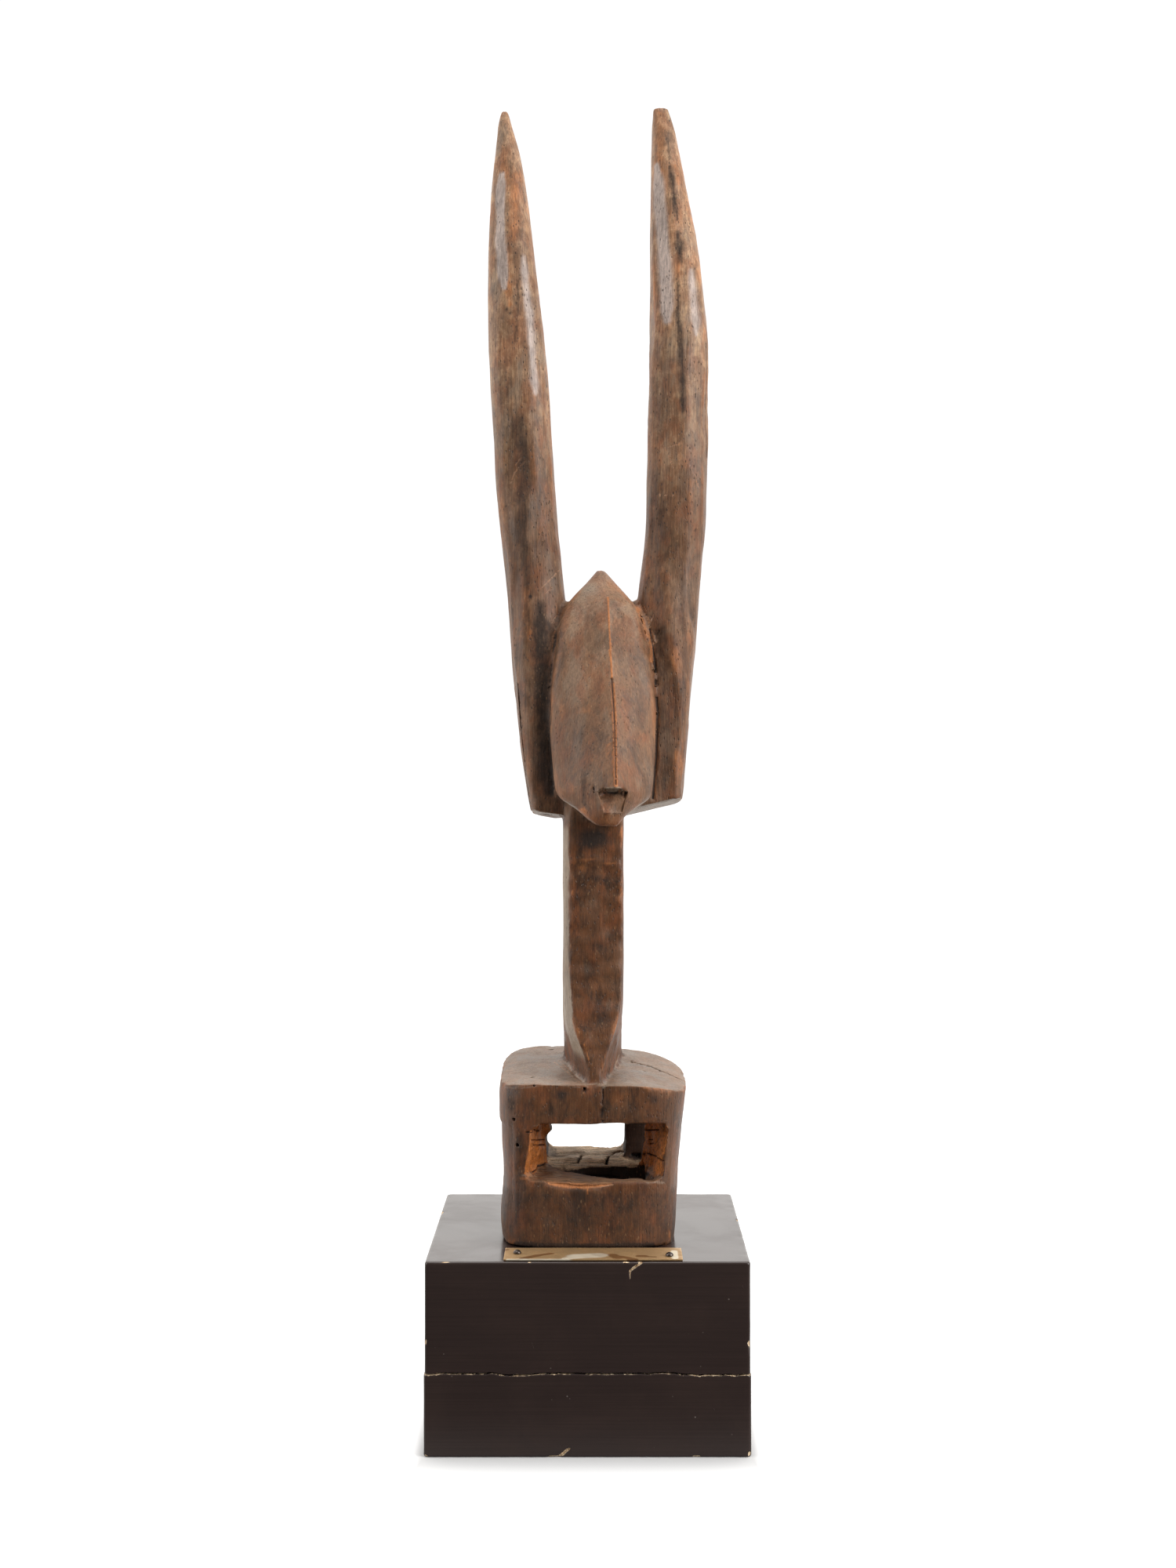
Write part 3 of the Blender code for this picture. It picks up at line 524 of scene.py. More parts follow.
# Triangle meshes as arrays
def edges_of(triangles):
    """Each edge once, and for each side of each triangle the number of its edge."""
    sides = np.stack([triangles, np.roll(triangles, -1, axis=1)], axis=2).reshape(-1, 2)
    sides.sort(axis=1)
    count = int(triangles.max()) + 1
    keys, number = np.unique(sides[:, 0].astype(np.int64) * count + sides[:, 1], return_inverse=True)
    return np.stack([keys // count, keys % count], axis=1), number.reshape(-1, 3)


def halve_edges(points, triangles, chosen):
    """Halves the edges that chosen(edges) picks, and divides their triangles to fit."""
    edges, number = edges_of(triangles)
    split = chosen(edges)
    middles = np.full(len(edges), -1)
    middles[split] = len(points) + np.arange(split.sum())
    points = np.concatenate([points, points[edges[split]].mean(axis=1)])
    sides = middles[number]
    cut = sides >= 0
    count = cut.sum(axis=1)
    turn = np.where(count == 1, cut.argmax(axis=1), np.where(count == 2, (~cut).argmax(axis=1) + 1, 0))
    order = (np.arange(3) + turn[:, None]) % 3
    corners = np.take_along_axis(triangles, order, axis=1)
    sides = np.take_along_axis(sides, order, axis=1)
    made = [triangles[count == 0]]
    a, b, c = corners.T
    ab, bc, ca = sides.T
    patterns = {
        1: ((a, ab, c), (ab, b, c)),
        2: ((ab, b, bc), (a, ab, bc), (a, bc, c)),
        3: ((a, ab, ca), (ab, b, bc), (ca, bc, c), (ab, bc, ca)),
    }
    for cuts, pieces in patterns.items():
        for piece in pieces:
            made.append(np.stack(piece, axis=1)[count == cuts])
    return points, np.concatenate(made)


def normals_of(points, triangles):
    a, b, c = (points[triangles[:, i]] for i in range(3))
    face = np.cross(b - a, c - a)
    total = np.zeros_like(points)
    for corner in range(3):
        for axis in range(3):
            total[:, axis] += np.bincount(triangles[:, corner], face[:, axis], len(points))
    return total / np.maximum(np.linalg.norm(total, axis=1), 1e-12)[:, None]


def relaxed(values, edges, rounds, share=0.5):
    """Values at the points, each drawn towards its neighbours' mean a number of times."""
    values = values.reshape(len(values), -1)
    a, b = edges.T
    count = np.bincount(a, minlength=len(values)) + np.bincount(b, minlength=len(values))
    for _ in range(rounds):
        mean = np.empty_like(values)
        for i in range(values.shape[1]):
            total = np.bincount(a, values[b, i], len(values)) + np.bincount(b, values[a, i], len(values))
            mean[:, i] = total / np.maximum(count, 1)
        values = values + share * (mean - values)
    return values


def distance_to_path(points, path, reach):
    """Distance of each point from a path of straight runs, and more than reach for those further off."""
    path = np.asarray(path, float)
    found = np.full(len(points), reach * 2.0)
    low, high = path.min(axis=0) - reach, path.max(axis=0) + reach
    near = np.flatnonzero(((points > low) & (points < high)).all(axis=1))
    if len(path) == 1:
        path = np.repeat(path, 2, axis=0)
    for start, end in zip(path, path[1:]):
        run = end - start
        offset = points[near] - start
        share = np.clip(offset @ run / max(run @ run, 1e-12), 0, 1)
        away = np.linalg.norm(offset - share[:, None] * run, axis=1)
        found[near] = np.minimum(found[near], away)
    return found


def welded_copy(node):
    """Points in millimetres and triangles of a node of the model, with its shared corners joined."""
    cage = bmesh.new()
    cage.from_mesh(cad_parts[node].data)
    bmesh.ops.remove_doubles(cage, verts=cage.verts, dist=1e-6)
    bmesh.ops.triangulate(cage, faces=cage.faces)
    points = np.array([v.co[:] for v in cage.verts]) * MM
    triangles = np.array([[v.index for v in face.verts] for face in cage.faces])
    cage.free()
    return points, triangles


def make_mesh(name, points, triangles, marks=None, smooth=True):
    """An object from points in millimetres, with each kind of mark kept as a value at its points."""
    mesh = bpy.data.meshes.new(name)
    mesh.vertices.add(len(points))
    mesh.vertices.foreach_set("co", (points / MM).astype(np.float32).ravel())
    mesh.loops.add(triangles.size)
    mesh.loops.foreach_set("vertex_index", triangles.astype(np.int32).ravel())
    mesh.polygons.add(len(triangles))
    mesh.polygons.foreach_set("loop_start", np.arange(0, triangles.size, 3, dtype=np.int32))
    mesh.update(calc_edges=True)
    mesh.validate()
    for kind, values in (marks or {}).items():
        layer = mesh.attributes.new(kind, "FLOAT", "POINT")
        layer.data.foreach_set("value", values.astype(np.float32))
    if smooth:
        mesh.shade_smooth()
    item = bpy.data.objects.new(name, mesh)
    bpy.context.scene.collection.objects.link(item)
    return item


def arrays_of(mesh):
    """Points in millimetres and triangles of a mesh."""
    mesh.calc_loop_triangles()
    points = np.empty(len(mesh.vertices) * 3, np.float32)
    mesh.vertices.foreach_get("co", points)
    triangles = np.empty(len(mesh.loop_triangles) * 3, np.int32)
    mesh.loop_triangles.foreach_get("vertices", triangles)
    return points.reshape(-1, 3).astype(float) * MM, triangles.reshape(-1, 3).astype(np.int64)


# The carved figure
class Wood:
    """The figure's solid, asked for the wood under a place."""

    def __init__(self):
        self.points, self.triangles = welded_copy("antelope_figure")
        self.tree = BVHTree.FromPolygons(self.points.tolist(), self.triangles.tolist())

    def seen_at(self, across, down):
        """The place on the wood that shows at a pixel of the photograph, or the nearest to it."""
        start = Vector(CAMERA_PLACE)
        line = Vector(
            (
                (across - PHOTO_CENTRE[0]) / FOCAL_PIXELS,
                1.0,
                (PHOTO_CENTRE[1] - down) / FOCAL_PIXELS,
            )
        ).normalized()
        hit = self.tree.ray_cast(start, line)[0]
        if hit is None:
            aim = start + line * ((TRUNK_FRONT + 45 - start.y) / line.y)
            hit = self.tree.find_nearest(aim)[0]
        return np.array(hit)

    def nearest(self, place):
        return np.array(self.tree.find_nearest(Vector(place))[0])

    def path_seen(self, path):
        """A path over the wood with a place every few pixels, so that it follows the wood's form."""
        made = []
        for (x0, y0), (x1, y1) in zip(path, path[1:]):
            steps = max(int(math.hypot(x1 - x0, y1 - y0) / 5), 1)
            made += [(x0 + (x1 - x0) * i / steps, y0 + (y1 - y0) * i / steps) for i in range(steps)]
        made.append(path[-1])
        return np.array([self.seen_at(*place) for place in made])

    def path_near(self, path):
        made = []
        for start, end in zip(np.array(path, float), np.array(path, float)[1:]):
            made += [start + (end - start) * i / 6 for i in range(6)]
        made.append(np.array(path[-1], float))
        return np.array([self.nearest(place) for place in made])


def even_skin(wood, step):
    """An even net of faces over the solid; the caller draws it back on to it."""
    source = make_mesh("skin_source", wood.points, wood.triangles, smooth=False)
    remesh = source.modifiers.new("even net", "REMESH")
    remesh.mode = "VOXEL"
    remesh.voxel_size = step
    graph = bpy.context.evaluated_depsgraph_get()
    mesh = bpy.data.meshes.new_from_object(source.evaluated_get(graph))
    points, triangles = arrays_of(mesh)
    bpy.data.objects.remove(source)
    bpy.data.meshes.remove(mesh)
    return points, triangles


def drawn_to(wood, points):
    return np.array([wood.tree.find_nearest(place)[0] for place in points.tolist()])


def fine_places(wood):
    """Paths and places whose marks need a fine net, each with how far the net has to be fine."""
    places = [(wood.path_seen(path), 0.75) for path, _, _ in CRACKS]
    places += [(wood.path_near(path), 0.75) for path, _, _ in HIDDEN_CRACKS]
    places += [(wood.path_seen(path), 0.5) for path, _ in all_scratches()]
    places += [(wood.seen_at(x, y)[None], radius + 0.6) for x, y, radius in WORMHOLES]
    places += [(wood.nearest(place)[None], radius + 0.6) for *place, radius in HIDDEN_WORMHOLES]
    places += [(wood.path_seen(path), 0.9) for _, path, half, _, _ in STREAKS if half < 0.7]
    for side in (MOUTH_LEFT, MOUTH_RIGHT):
        places.append((wood.path_seen(tuple(zip(side, (MOUTH_TOP, MOUTH_FOOT)))), 1.2))
    foot = (MOUTH_LEFT[1], MOUTH_FOOT), (MOUTH_RIGHT[1], MOUTH_FOOT)
    return places + [(wood.path_seen(foot), 1.0)]


def finer_net(wood, points, triangles, fine_step):
    """Halves long edges: on bends and in the window twice, and beside fine marks four times."""
    places = fine_places(wood)
    for turn in range(4):
        normals = normals_of(points, triangles)

        def coarse(edges):
            ends = points[edges]
            length = np.linalg.norm(ends[:, 0] - ends[:, 1], axis=1)
            middle = ends.mean(axis=1)
            bend = (normals[edges[:, 0]] * normals[edges[:, 1]]).sum(axis=1)
            within = ((middle > WINDOW_LOW) & (middle < WINDOW_HIGH)).all(axis=1)
            picked = (bend < 0.88) & (length > 1.2) | within & (length > 1.3)
            if turn > 1:
                picked[:] = False
            for path, reach in places:
                picked |= (distance_to_path(middle, path, reach) < reach) & (length > fine_step * 1.4)
            return picked

        points, triangles = halve_edges(points, triangles, coarse)
        points = drawn_to(wood, points)
    return points, triangles


def photo_place(points):
    """Where each point shows in the photograph, in pixels across and down."""
    scale = FOCAL_PIXELS / (points[:, 1] - CAMERA_PLACE[1])
    across = PHOTO_CENTRE[0] + (points[:, 0] - CAMERA_PLACE[0]) * scale
    return across, PHOTO_CENTRE[1] - (points[:, 2] - CAMERA_PLACE[2]) * scale


def zones(points, normals):
    """Shares from 0 to 1 that say which part of the figure each point belongs to."""
    x, y, z = points.T
    facing_out = ease(-normals[:, 1], 0.45, 0.7) * (1 - ease(y, -38, -34))
    facing_out = np.maximum(facing_out, ease(normals[:, 1], 0.45, 0.7) * ease(y, 34, 38))
    inside = (
        ease(z, SLAB_TOP - 11, SLAB_TOP - 9)
        * (1 - ease(z, BELLY - 0.5, BELLY + 0.5))
        * ease(y, TRUNK_FRONT + 0.2, TRUNK_FRONT + 1.0)
        * (1 - ease(np.abs(x - 1.5), 35.5, 37.5))
        * (1 - facing_out)
    )
    between_horns = (1 - ease(np.abs(x - 6.5), 17, 19)) * (1 - ease(z, EAR_TOP + 40, EAR_TOP + 50))
    face = np.maximum(1 - ease(y, -34, -28), between_horns) * ease(z, NECK_TOP - 6, NECK_TOP + 4)
    up = ease(normals[:, 2], 0.35, 0.85)
    floor = inside * up * (1 - ease(z, SLAB_TOP + 2, SLAB_TOP + 4))
    return {
        "horns": ease(z, EAR_TOP - 40, EAR_TOP + 20),
        "above_neck": ease(z, NECK_TOP - 6, NECK_TOP + 4),
        "face": face,
        "neck": ease(z, BACK + 8, BACK + 20) * (1 - ease(z, NECK_TOP - 8, NECK_TOP)),
        "inside": inside,
        "floor": floor,
        "rough_floor": floor * ease(y, WAIST - 3.0, WAIST - 1.0),
        "front": ease(-normals[:, 1], 0.3, 0.8),
        "up": up,
    }


class Flats:
    """Cuts flat facets into the points, as an adze does."""

    def __init__(self, points, normals):
        self.points = points
        self.normals = normals
        self.order = np.argsort(points[:, 2])
        self.heights = points[self.order, 2]

    def cut(self, centre, facing, wide, high, depth):
        """Takes off what stands above a plane at a depth under the centre, within a reach of it."""
        low, top = np.searchsorted(self.heights, (centre[2] - high, centre[2] + high))
        near = self.order[low:top]
        offset = self.points[near] - centre
        far = np.sqrt((offset[:, 0] ** 2 + offset[:, 1] ** 2) / wide**2 + (offset[:, 2] / high) ** 2)
        turned = self.normals[near] @ facing > 0.35
        rise = np.clip(offset @ facing + depth, 0, depth * 1.6) * (1 - ease(far, 0.75, 1.0)) * turned
        self.points[near] -= rise[:, None] * facing


def adze_cuts(wood, points, normals, edges):
    """The named flats of the photograph, and steady random ones all over the carving."""
    soft = relaxed(normals, edges, 8)
    soft /= np.maximum(np.linalg.norm(soft, axis=1), 1e-9)[:, None]
    flats = Flats(points.copy(), normals)
    zone = zones(points, normals)
    pick = np.random.default_rng(11)
    chosen = pick.choice(len(points), FLAT_COUNT, replace=False)
    tilts = pick.normal(0.0, 1.0, (FLAT_COUNT, 3))
    sizes = pick.uniform(0.7, 1.3, (FLAT_COUNT, 3))
    for index, tilt, size in zip(chosen, tilts, sizes):
        here = {kind: values[index] for kind, values in zone.items()}
        if here["face"] > 0.3:
            continue
        found = [flat for kind, *flat in ADZE_FLATS if here[kind] > 0.5]
        wide, high, depth = found[0] if found else TRUNK_FLAT
        if not found:
            depth *= 1 - 0.5 * here["front"]
        facing = soft[index] + 0.07 * tilt * (1.0, 1.0, 0.35)
        facing /= np.linalg.norm(facing)
        flats.cut(flats.points[index].copy(), facing, wide * size[0], high * size[1], depth * size[2])
    for across, down, wide, high, turn, depth in FACETS:
        centre = wood.seen_at(across, down)
        index = np.argmin(((flats.points - centre) ** 2).sum(axis=1))
        facing = soft[index] + np.array((turn, 0.0, 0.0))
        facing /= np.linalg.norm(facing)
        flats.cut(flats.points[index].copy(), facing, wide, high, depth)
    return flats.points


def hand_cut(points, normals, choices):
    """How far each point moves out along its normal, for waves, ripples and chisel splits."""
    zone = zones(points, normals)
    wave = choices.wave * MM
    calm = 1 - 0.75 * zone["face"]
    broad, small = soft_noise(points, 24, 3) - 0.5, soft_noise(points, 9, 5) - 0.5
    out = wave * calm * (broad + 0.5 * small)
    walls = zone["inside"] * (1 - zone["floor"])
    out += 0.30 * (cut_cells(points, (9.0, 9.0, 3.2), 23) - 0.35) * walls
    out -= 0.35 * ease(soft_noise(points, (9.0, 9.0, 0.9), 27), 0.70, 0.80) * walls
    ripple = np.sin(points[:, 2] * 2 * math.pi / 8.5 + 5 * soft_noise(points, 15, 29))
    out += 0.20 * ripple * zone["neck"] * zone["front"]
    return out


def open_floor(points, normals):
    """Tears the slab's floor in layers and shapes the hollow in front of it, in place."""
    x, y, z = points.T
    zone = zones(points, normals)
    layer = soft_noise(points, (26, 5.5, 9), 31) + 0.35 * soft_noise(points, (7, 2.0, 9), 33)
    torn = np.floor(layer * 6) / 6
    fine = soft_noise(points, (7, 1.2, 3), 37)
    points[:, 2] += zone["rough_floor"] * (2.0 * (torn - 0.72) + 0.8 * (fine - 0.5))
    ragged = 2.2 * (soft_noise(points, (6, 40, 40), 39) - 0.5)
    bank = -18.0 - (x + 6.6) * 0.85 + ragged * 0.4
    hollow = (
        ease(x, -15.5, -14.5)
        * ease(y, TRUNK_FRONT + 9.0, TRUNK_FRONT + 10.0)
        * (1 - ease(y, WAIST - 2.2, WAIST - 1.4))
        * (1 - ease(z, SLAB_TOP - 0.2, SLAB_TOP + 0.4))
    )
    near_bank = hollow * (1 - ease(y, bank - 0.6, bank + 0.8))
    level = SLAB_TOP - 0.3 - 0.05 * (y - TRUNK_FRONT) + 0.6 * (soft_noise(points, (18, 2.0, 9), 43) - 0.5)
    level += 0.35 * (soft_noise(points, (12, 0.9, 9), 45) - 0.5)
    points[:, 2] += near_bank * np.maximum(level - points[:, 2], 0) * 0.85
    beyond = hollow * ease(y, bank, bank + 1.5)
    points[:, 2] -= beyond * 1.4 * ease(x, -12, 4)
    step = (x < -36) * (1 - ease(z, 147.2, 147.9)) * ease(z, 104, 118)
    points[:, 0] += 0.9 * step
    across, down = photo_place(points)
    right, below = across - SLANT_CORNER[0], down - SLANT_CORNER[1]
    near = ease(right, -8, -4) * ease(below, -8, -4) * ease(points[:, 1], WAIST - 9, WAIST + 1)
    short = np.clip(SLANT - right - below, 0, SLANT) * near
    push = short / 2 * (points[:, 1] - CAMERA_PLACE[1]) / FOCAL_PIXELS
    points[:, 0] += push
    points[:, 2] -= push


def cut_mouth(points, normals):
    """Sinks the wedge under the nose and roughens the end grain under it, in place.

    Returns how far each point belongs to the rough grain.
    """
    across, down = photo_place(points)
    share = np.clip((down - MOUTH_TOP) / (MOUTH_FOOT - MOUTH_TOP), 0, 1)
    left = MOUTH_LEFT[0] + (MOUTH_LEFT[1] - MOUTH_LEFT[0]) * share
    right = MOUTH_RIGHT[0] + (MOUTH_RIGHT[1] - MOUTH_RIGHT[0]) * share
    wander = 0.6 * (soft_noise(points, 2.2, 47) - 0.5)
    within = ease(np.minimum(across - left, right - across) + wander, -0.4, 0.9)
    level = ease(down, MOUTH_TOP - 1, MOUTH_TOP) * (1 - ease(down, MOUTH_FOOT - 1.0, MOUTH_FOOT + 0.5))
    face = (points[:, 1] < -40) & (normals[:, 1] < 0.2)
    wedge = within * level * face
    points[:, 1] += wedge * (0.8 + 1.2 * (1 - ease(down, MOUTH_TOP, MOUTH_TOP + 11)))
    x0, x1, y0, y1 = CHIN_GRAIN
    patch = between(across, x0, x1) * between(down, y0, y1) * face
    points[:, 1] += patch * (0.25 + 0.5 * soft_noise(points, (0.9, 0.9, 2.5), 49))
    return patch


def mark_wood(wood, points, normals, uncut):
    """Cuts the cracks, holes and worn lines, and returns the moved points and the values of each mark.

    The marks lie where the wood was before the adze went over it, at the uncut points.
    """
    marks = {kind: np.zeros(len(points)) for kind in ("worn", "stain_and_shade", "pale", "polish_and_highlight", "fine")}
    out = np.zeros(len(points))
    cracks = [(wood.path_seen(path), half, depth) for path, half, depth in CRACKS]
    cracks += [(wood.path_near(path), half, depth) for path, half, depth in HIDDEN_CRACKS]
    for path, half, depth in cracks:
        away = distance_to_path(uncut, path, half * 4)
        thin = half * (0.7 + 0.8 * soft_noise(points, 3, 41))
        out -= depth * (1 - ease(away, 0.15 * thin, 1.2 * thin))
        leave(marks, "fine", 1 - ease(away, 0.5 * thin, 1.4 * thin))
    holes = [(wood.seen_at(x, y), radius) for x, y, radius in WORMHOLES]
    holes += [(wood.nearest(place), radius) for *place, radius in HIDDEN_WORMHOLES]
    for place, radius in holes:
        away = distance_to_path(uncut, [place], radius * 3)
        out -= 2.2 * (1 - ease(away, radius * 0.75, radius * 1.1))
        leave(marks, "fine", 1 - ease(away, radius * 0.8, radius * 1.25))
    for path, half in all_scratches():
        away = distance_to_path(uncut, wood.path_seen(path), half * 4)
        out -= 0.12 * (1 - ease(away, 0, half * 1.4))
        leave(marks, "pale", 0.7 * (1 - ease(away, half * 0.6, half * 1.6)))
        leave(marks, "worn", 0.55 * (1 - ease(away, half * 0.6, half * 1.6)))
    for kind, path, half, strength, height in STREAKS:
        path = wood.path_seen(path)
        away = distance_to_path(uncut, path, half * 2.6)
        if kind != "edge" and half > 1.0:
            ends = np.minimum(*(np.linalg.norm(uncut - end, axis=1) for end in (path[0], path[-1])))
            away *= 0.78 + 0.44 * soft_noise(uncut, (4.0, 4.0, 12.0), 55)
            away /= 0.5 + 0.5 * ease(ends, 0, 2.5 * half)
        share = 1 - ease(away, half * 0.2, half * (2.2 if kind == "edge" else 1.9))
        out += height * share
        if kind != "edge":
            leave(marks, kind, strength * share)
    for kind, across, down, wide, high, strength in PATCHES:
        offset = (uncut - wood.seen_at(across, down)) / (wide, max(wide, 6) * 1.6, high)
        share = 1 - ease(np.linalg.norm(offset, axis=1), 0.1, 1.7)
        leave(marks, kind, strength * share)
    return points + normals * out[:, None], marks


def all_scratches():
    made = list(SCRATCHES)
    for first, (right, down), count, half in SCRATCH_ROWS:
        for i in range(count):
            made.append((tuple((x + right * i, y + down * i) for x, y in first), half))
    return made


def weather(points, normals, edges, marks):
    """Adds what age did all over: worn arrises, dirt in the hollows, dust on the tops; with them painted
    shade in the hollows and inside the window, and painted light on the tops, the neck's left side and the
    undersides.
    """
    x, y, z = points.T
    zone = zones(points, normals)
    outside, walls = 1 - zone["inside"], zone["inside"] * (1 - zone["floor"])
    stands_out = ((points - relaxed(points, edges, 14)) * normals).sum(axis=1)
    stands_out = relaxed(stands_out, edges, 2)[:, 0]
    patchy = soft_noise(points, (7, 7, 16), 51)
    arris = ease(stands_out, 0.12, 0.6)
    leave(marks, "worn", arris * (0.05 + 0.5 * patchy) * outside)
    leave(marks, "pale", arris * 0.35 * (1 - patchy))

    behind = walls * ease(y, -6, -1)
    on_wall = ease(z, SLAB_TOP - 1, SLAB_TOP + 1.5)
    sunk = ease(SLAB_TOP - 1.2 - z, 0, 2.5) * ease(y, TRUNK_FRONT + 4, TRUNK_FRONT + 8)
    # Hollows darken: partly dirt, partly painted shade
    leave(marks, "stain_and_shade", ease(-stands_out, 0.15, 0.8) * 0.5 * (1 - 0.7 * walls))
    leave(marks, "stain_and_shade", 0.46 * (1 - ease(z, SLAB_TOP - 7, SLAB_TOP - 2)) * outside)
    # Painted shade: the window's back walls, its walls below the slab and the hollow sunk under the slab's
    # front
    leave(marks, "stain_and_shade", 0.85 * behind)
    leave(marks, "stain_and_shade", 0.7 * walls * (1 - on_wall))
    leave(marks, "stain_and_shade", zone["inside"] * sunk)
    across, down = photo_place(points)
    slant = (np.abs(across - SLANT_CORNER[0] - 4) < 12) & (np.abs(down - SLANT_CORNER[1] - 6) < 13)
    marks["stain_and_shade"][slant & (np.abs(y - WAIST + 3) < 10)] = 0

    # Tops paler, partly dust and partly a painted sheen of light from above; the neck's left side paler as
    # a painted reflection of the bright room; undersides above the neck paler as painted light bounced up
    # from the floor
    top = zone["up"] * (1 - zone["above_neck"]) * outside * ease(z, BELLY, BELLY + 8)
    neck_side = zone["neck"] * ease(-normals[:, 0], 0.6, 0.85) * (1 - 0.75 * ease(y, -28, -8))
    under = ease(-normals[:, 2], 0.5, 0.9) * zone["above_neck"] * (1 - zone["horns"])
    for share, amount in ((top, 0.50), (neck_side, 0.72), (under, 0.8)):
        leave(marks, "pale", amount * share)

    face_height, horn_height = ease(z, NECK_TOP, EAR_TOP + 110), ease(z, EAR_TOP + 30, EAR_TOP + 150)
    face_deep = 1 - zone["above_neck"] * (0.35 + 0.65 * face_height)
    horn_deep = 1 - zone["above_neck"] * (0.28 + 0.72 * horn_height)
    marks["deep"] = face_deep * zone["face"] + horn_deep * (1 - zone["face"])
    # Cut wood on the window's walls: weaker at the back as painted shade, and fuller on the right wall as
    # painted light for a wall the lamps hardly reach
    marks["raw"] = walls * on_wall * (1 - 0.7 * behind) * (0.72 + 0.28 * ease(x, -10, 10))
    marks["calm"] = np.maximum(1 - zone["above_neck"], zone["face"])
    marks["grey"] = zone["rough_floor"]
    marks["flat"] = zone["floor"]
    return marks


# Shader trees
class Nodes:
    """Adds nodes to a tree. A value is a number, a vector, a colour or another node's output."""

    def __init__(self, tree):
        self.tree = tree

    def put(self, value, socket):
        """Links an output to a socket, or sets the socket to a plain value."""
        if isinstance(value, bpy.types.NodeSocket):
            self.tree.links.new(value, socket)
        elif socket.type == "RGBA" and len(value) == 3:
            socket.default_value = (*value, 1.0)
        else:
            socket.default_value = value

    def add(self, kind, values=None, **settings):
        node = self.tree.nodes.new("ShaderNode" + kind)
        for name, value in settings.items():
            setattr(node, name, value)
        for socket, value in (values or {}).items():
            self.put(value, node.inputs[socket])
        return node

    def group(self, tree, place, amount):
        return self.add("Group", {0: place, 1: amount}, node_tree=tree).outputs

    def mark(self, kind):
        return self.add("Attribute", attribute_name=kind).outputs["Fac"]

    def vector(self, operation, first, second):
        return self.add("VectorMath", {0: first, 1: second}, operation=operation).outputs[0]

    def math(self, operation, first, second=0.0, clamp=False):
        return self.add("Math", {0: first, 1: second}, operation=operation, use_clamp=clamp).outputs[0]

    def less(self, first, second, clamp=False):
        return self.math("SUBTRACT", first, second, clamp)

    def larger(self, first, second):
        return self.math("MAXIMUM", first, second)

    def times(self, *values):
        """The product of several numbers or outputs."""
        product = values[0]
        for value in values[1:]:
            product = self.math("MULTIPLY", product, value)
        return product

    def total(self, *parts):
        """The sum of outputs, each with its weight."""
        whole = self.times(*parts[0])
        for part in parts[1:]:
            whole = self.math("ADD", whole, self.times(*part))
        return whole

    def step(self, value, low, high, to_low=0.0, to_high=1.0):
        values = {0: value, 1: low, 2: high, 3: to_low, 4: to_high}
        return self.add("MapRange", values, interpolation_type="SMOOTHSTEP").outputs[0]

    def mix(self, share, first, second, blend="MIX"):
        values = {0: share, 6: first, 7: second}
        return self.add("Mix", values, data_type="RGBA", blend_type=blend).outputs[2]

    def layered(self, colour, layers):
        """A colour under layers, each a share and the colour that it brings."""
        for share, tint in layers:
            colour = self.mix(share, colour, tint)
        return colour

    def grey(self, level):
        return self.add("CombineColor", {0: level, 1: level, 2: level}).outputs[0]

    def shaded(self, colour, value, low, high, dark, light, amount=1.0):
        """A colour made darker or lighter by a noise, by an amount."""
        return self.mix(amount, colour, self.grey(self.step(value, low, high, dark, light)), "MULTIPLY")

    def noise(self, vector, scale, detail=3.0, roughness=0.55, distortion=0.0, seed=0.0):
        values = {"Vector": vector, "W": seed, "Scale": scale}
        values.update({"Detail": detail, "Roughness": roughness, "Distortion": distortion})
        return self.add("TexNoise", values, noise_dimensions="4D").outputs[0]

    def stretched(self, vector, across, along):
        """The place divided by the size of a mark across and along the grain."""
        scale = self.add("CombineXYZ", {0: 1 / across, 1: 1 / across, 2: 1 / along}).outputs[0]
        return self.vector("MULTIPLY", vector, scale)

    def streaks(self, vector, across, along, *details):
        """Noise in marks of a size across and along the grain."""
        return self.noise(self.stretched(vector, across, along), 1.0, *details)

    def turned(self, vector, angle, axis):
        return self.add("VectorRotate", {"Vector": vector, "Angle": angle, "Axis": axis}).outputs[0]

    def cells(self, vector, scale):
        """How far each place is from the middle of its cell."""
        return self.add("TexVoronoi", {"Vector": vector, "Scale": scale}).outputs["Distance"]

    def broken(self, mark, noise, amount, spread=0.95):
        """A mark whose edge is torn up by noise, at most as strong as an amount."""
        torn = self.math("ADD", mark, self.times(self.less(noise, 0.5), spread))
        faint = self.times(self.math("MULTIPLY", mark, 1.6, clamp=True), amount)
        return self.times(self.step(torn, 0.16, 0.70), faint)

    def bump(self, height, distance):
        return self.add("Bump", {"Height": height, "Distance": distance, "Strength": 1.0}).outputs[0]


def new_group(name, amount, default, outputs):
    """An empty group that takes a place and one number, and gives out numbers."""
    tree = bpy.data.node_groups.new(name, "ShaderNodeTree")
    tree.interface.new_socket("Vector", in_out="INPUT", socket_type="NodeSocketVector")
    tree.interface.new_socket(amount, in_out="INPUT", socket_type="NodeSocketFloat").default_value = default
    for output in outputs:
        tree.interface.new_socket(output, in_out="OUTPUT", socket_type="NodeSocketFloat")
    start, end = tree.nodes.new("NodeGroupInput").outputs, tree.nodes.new("NodeGroupOutput").inputs
    return Nodes(tree), start[0], start[1], end


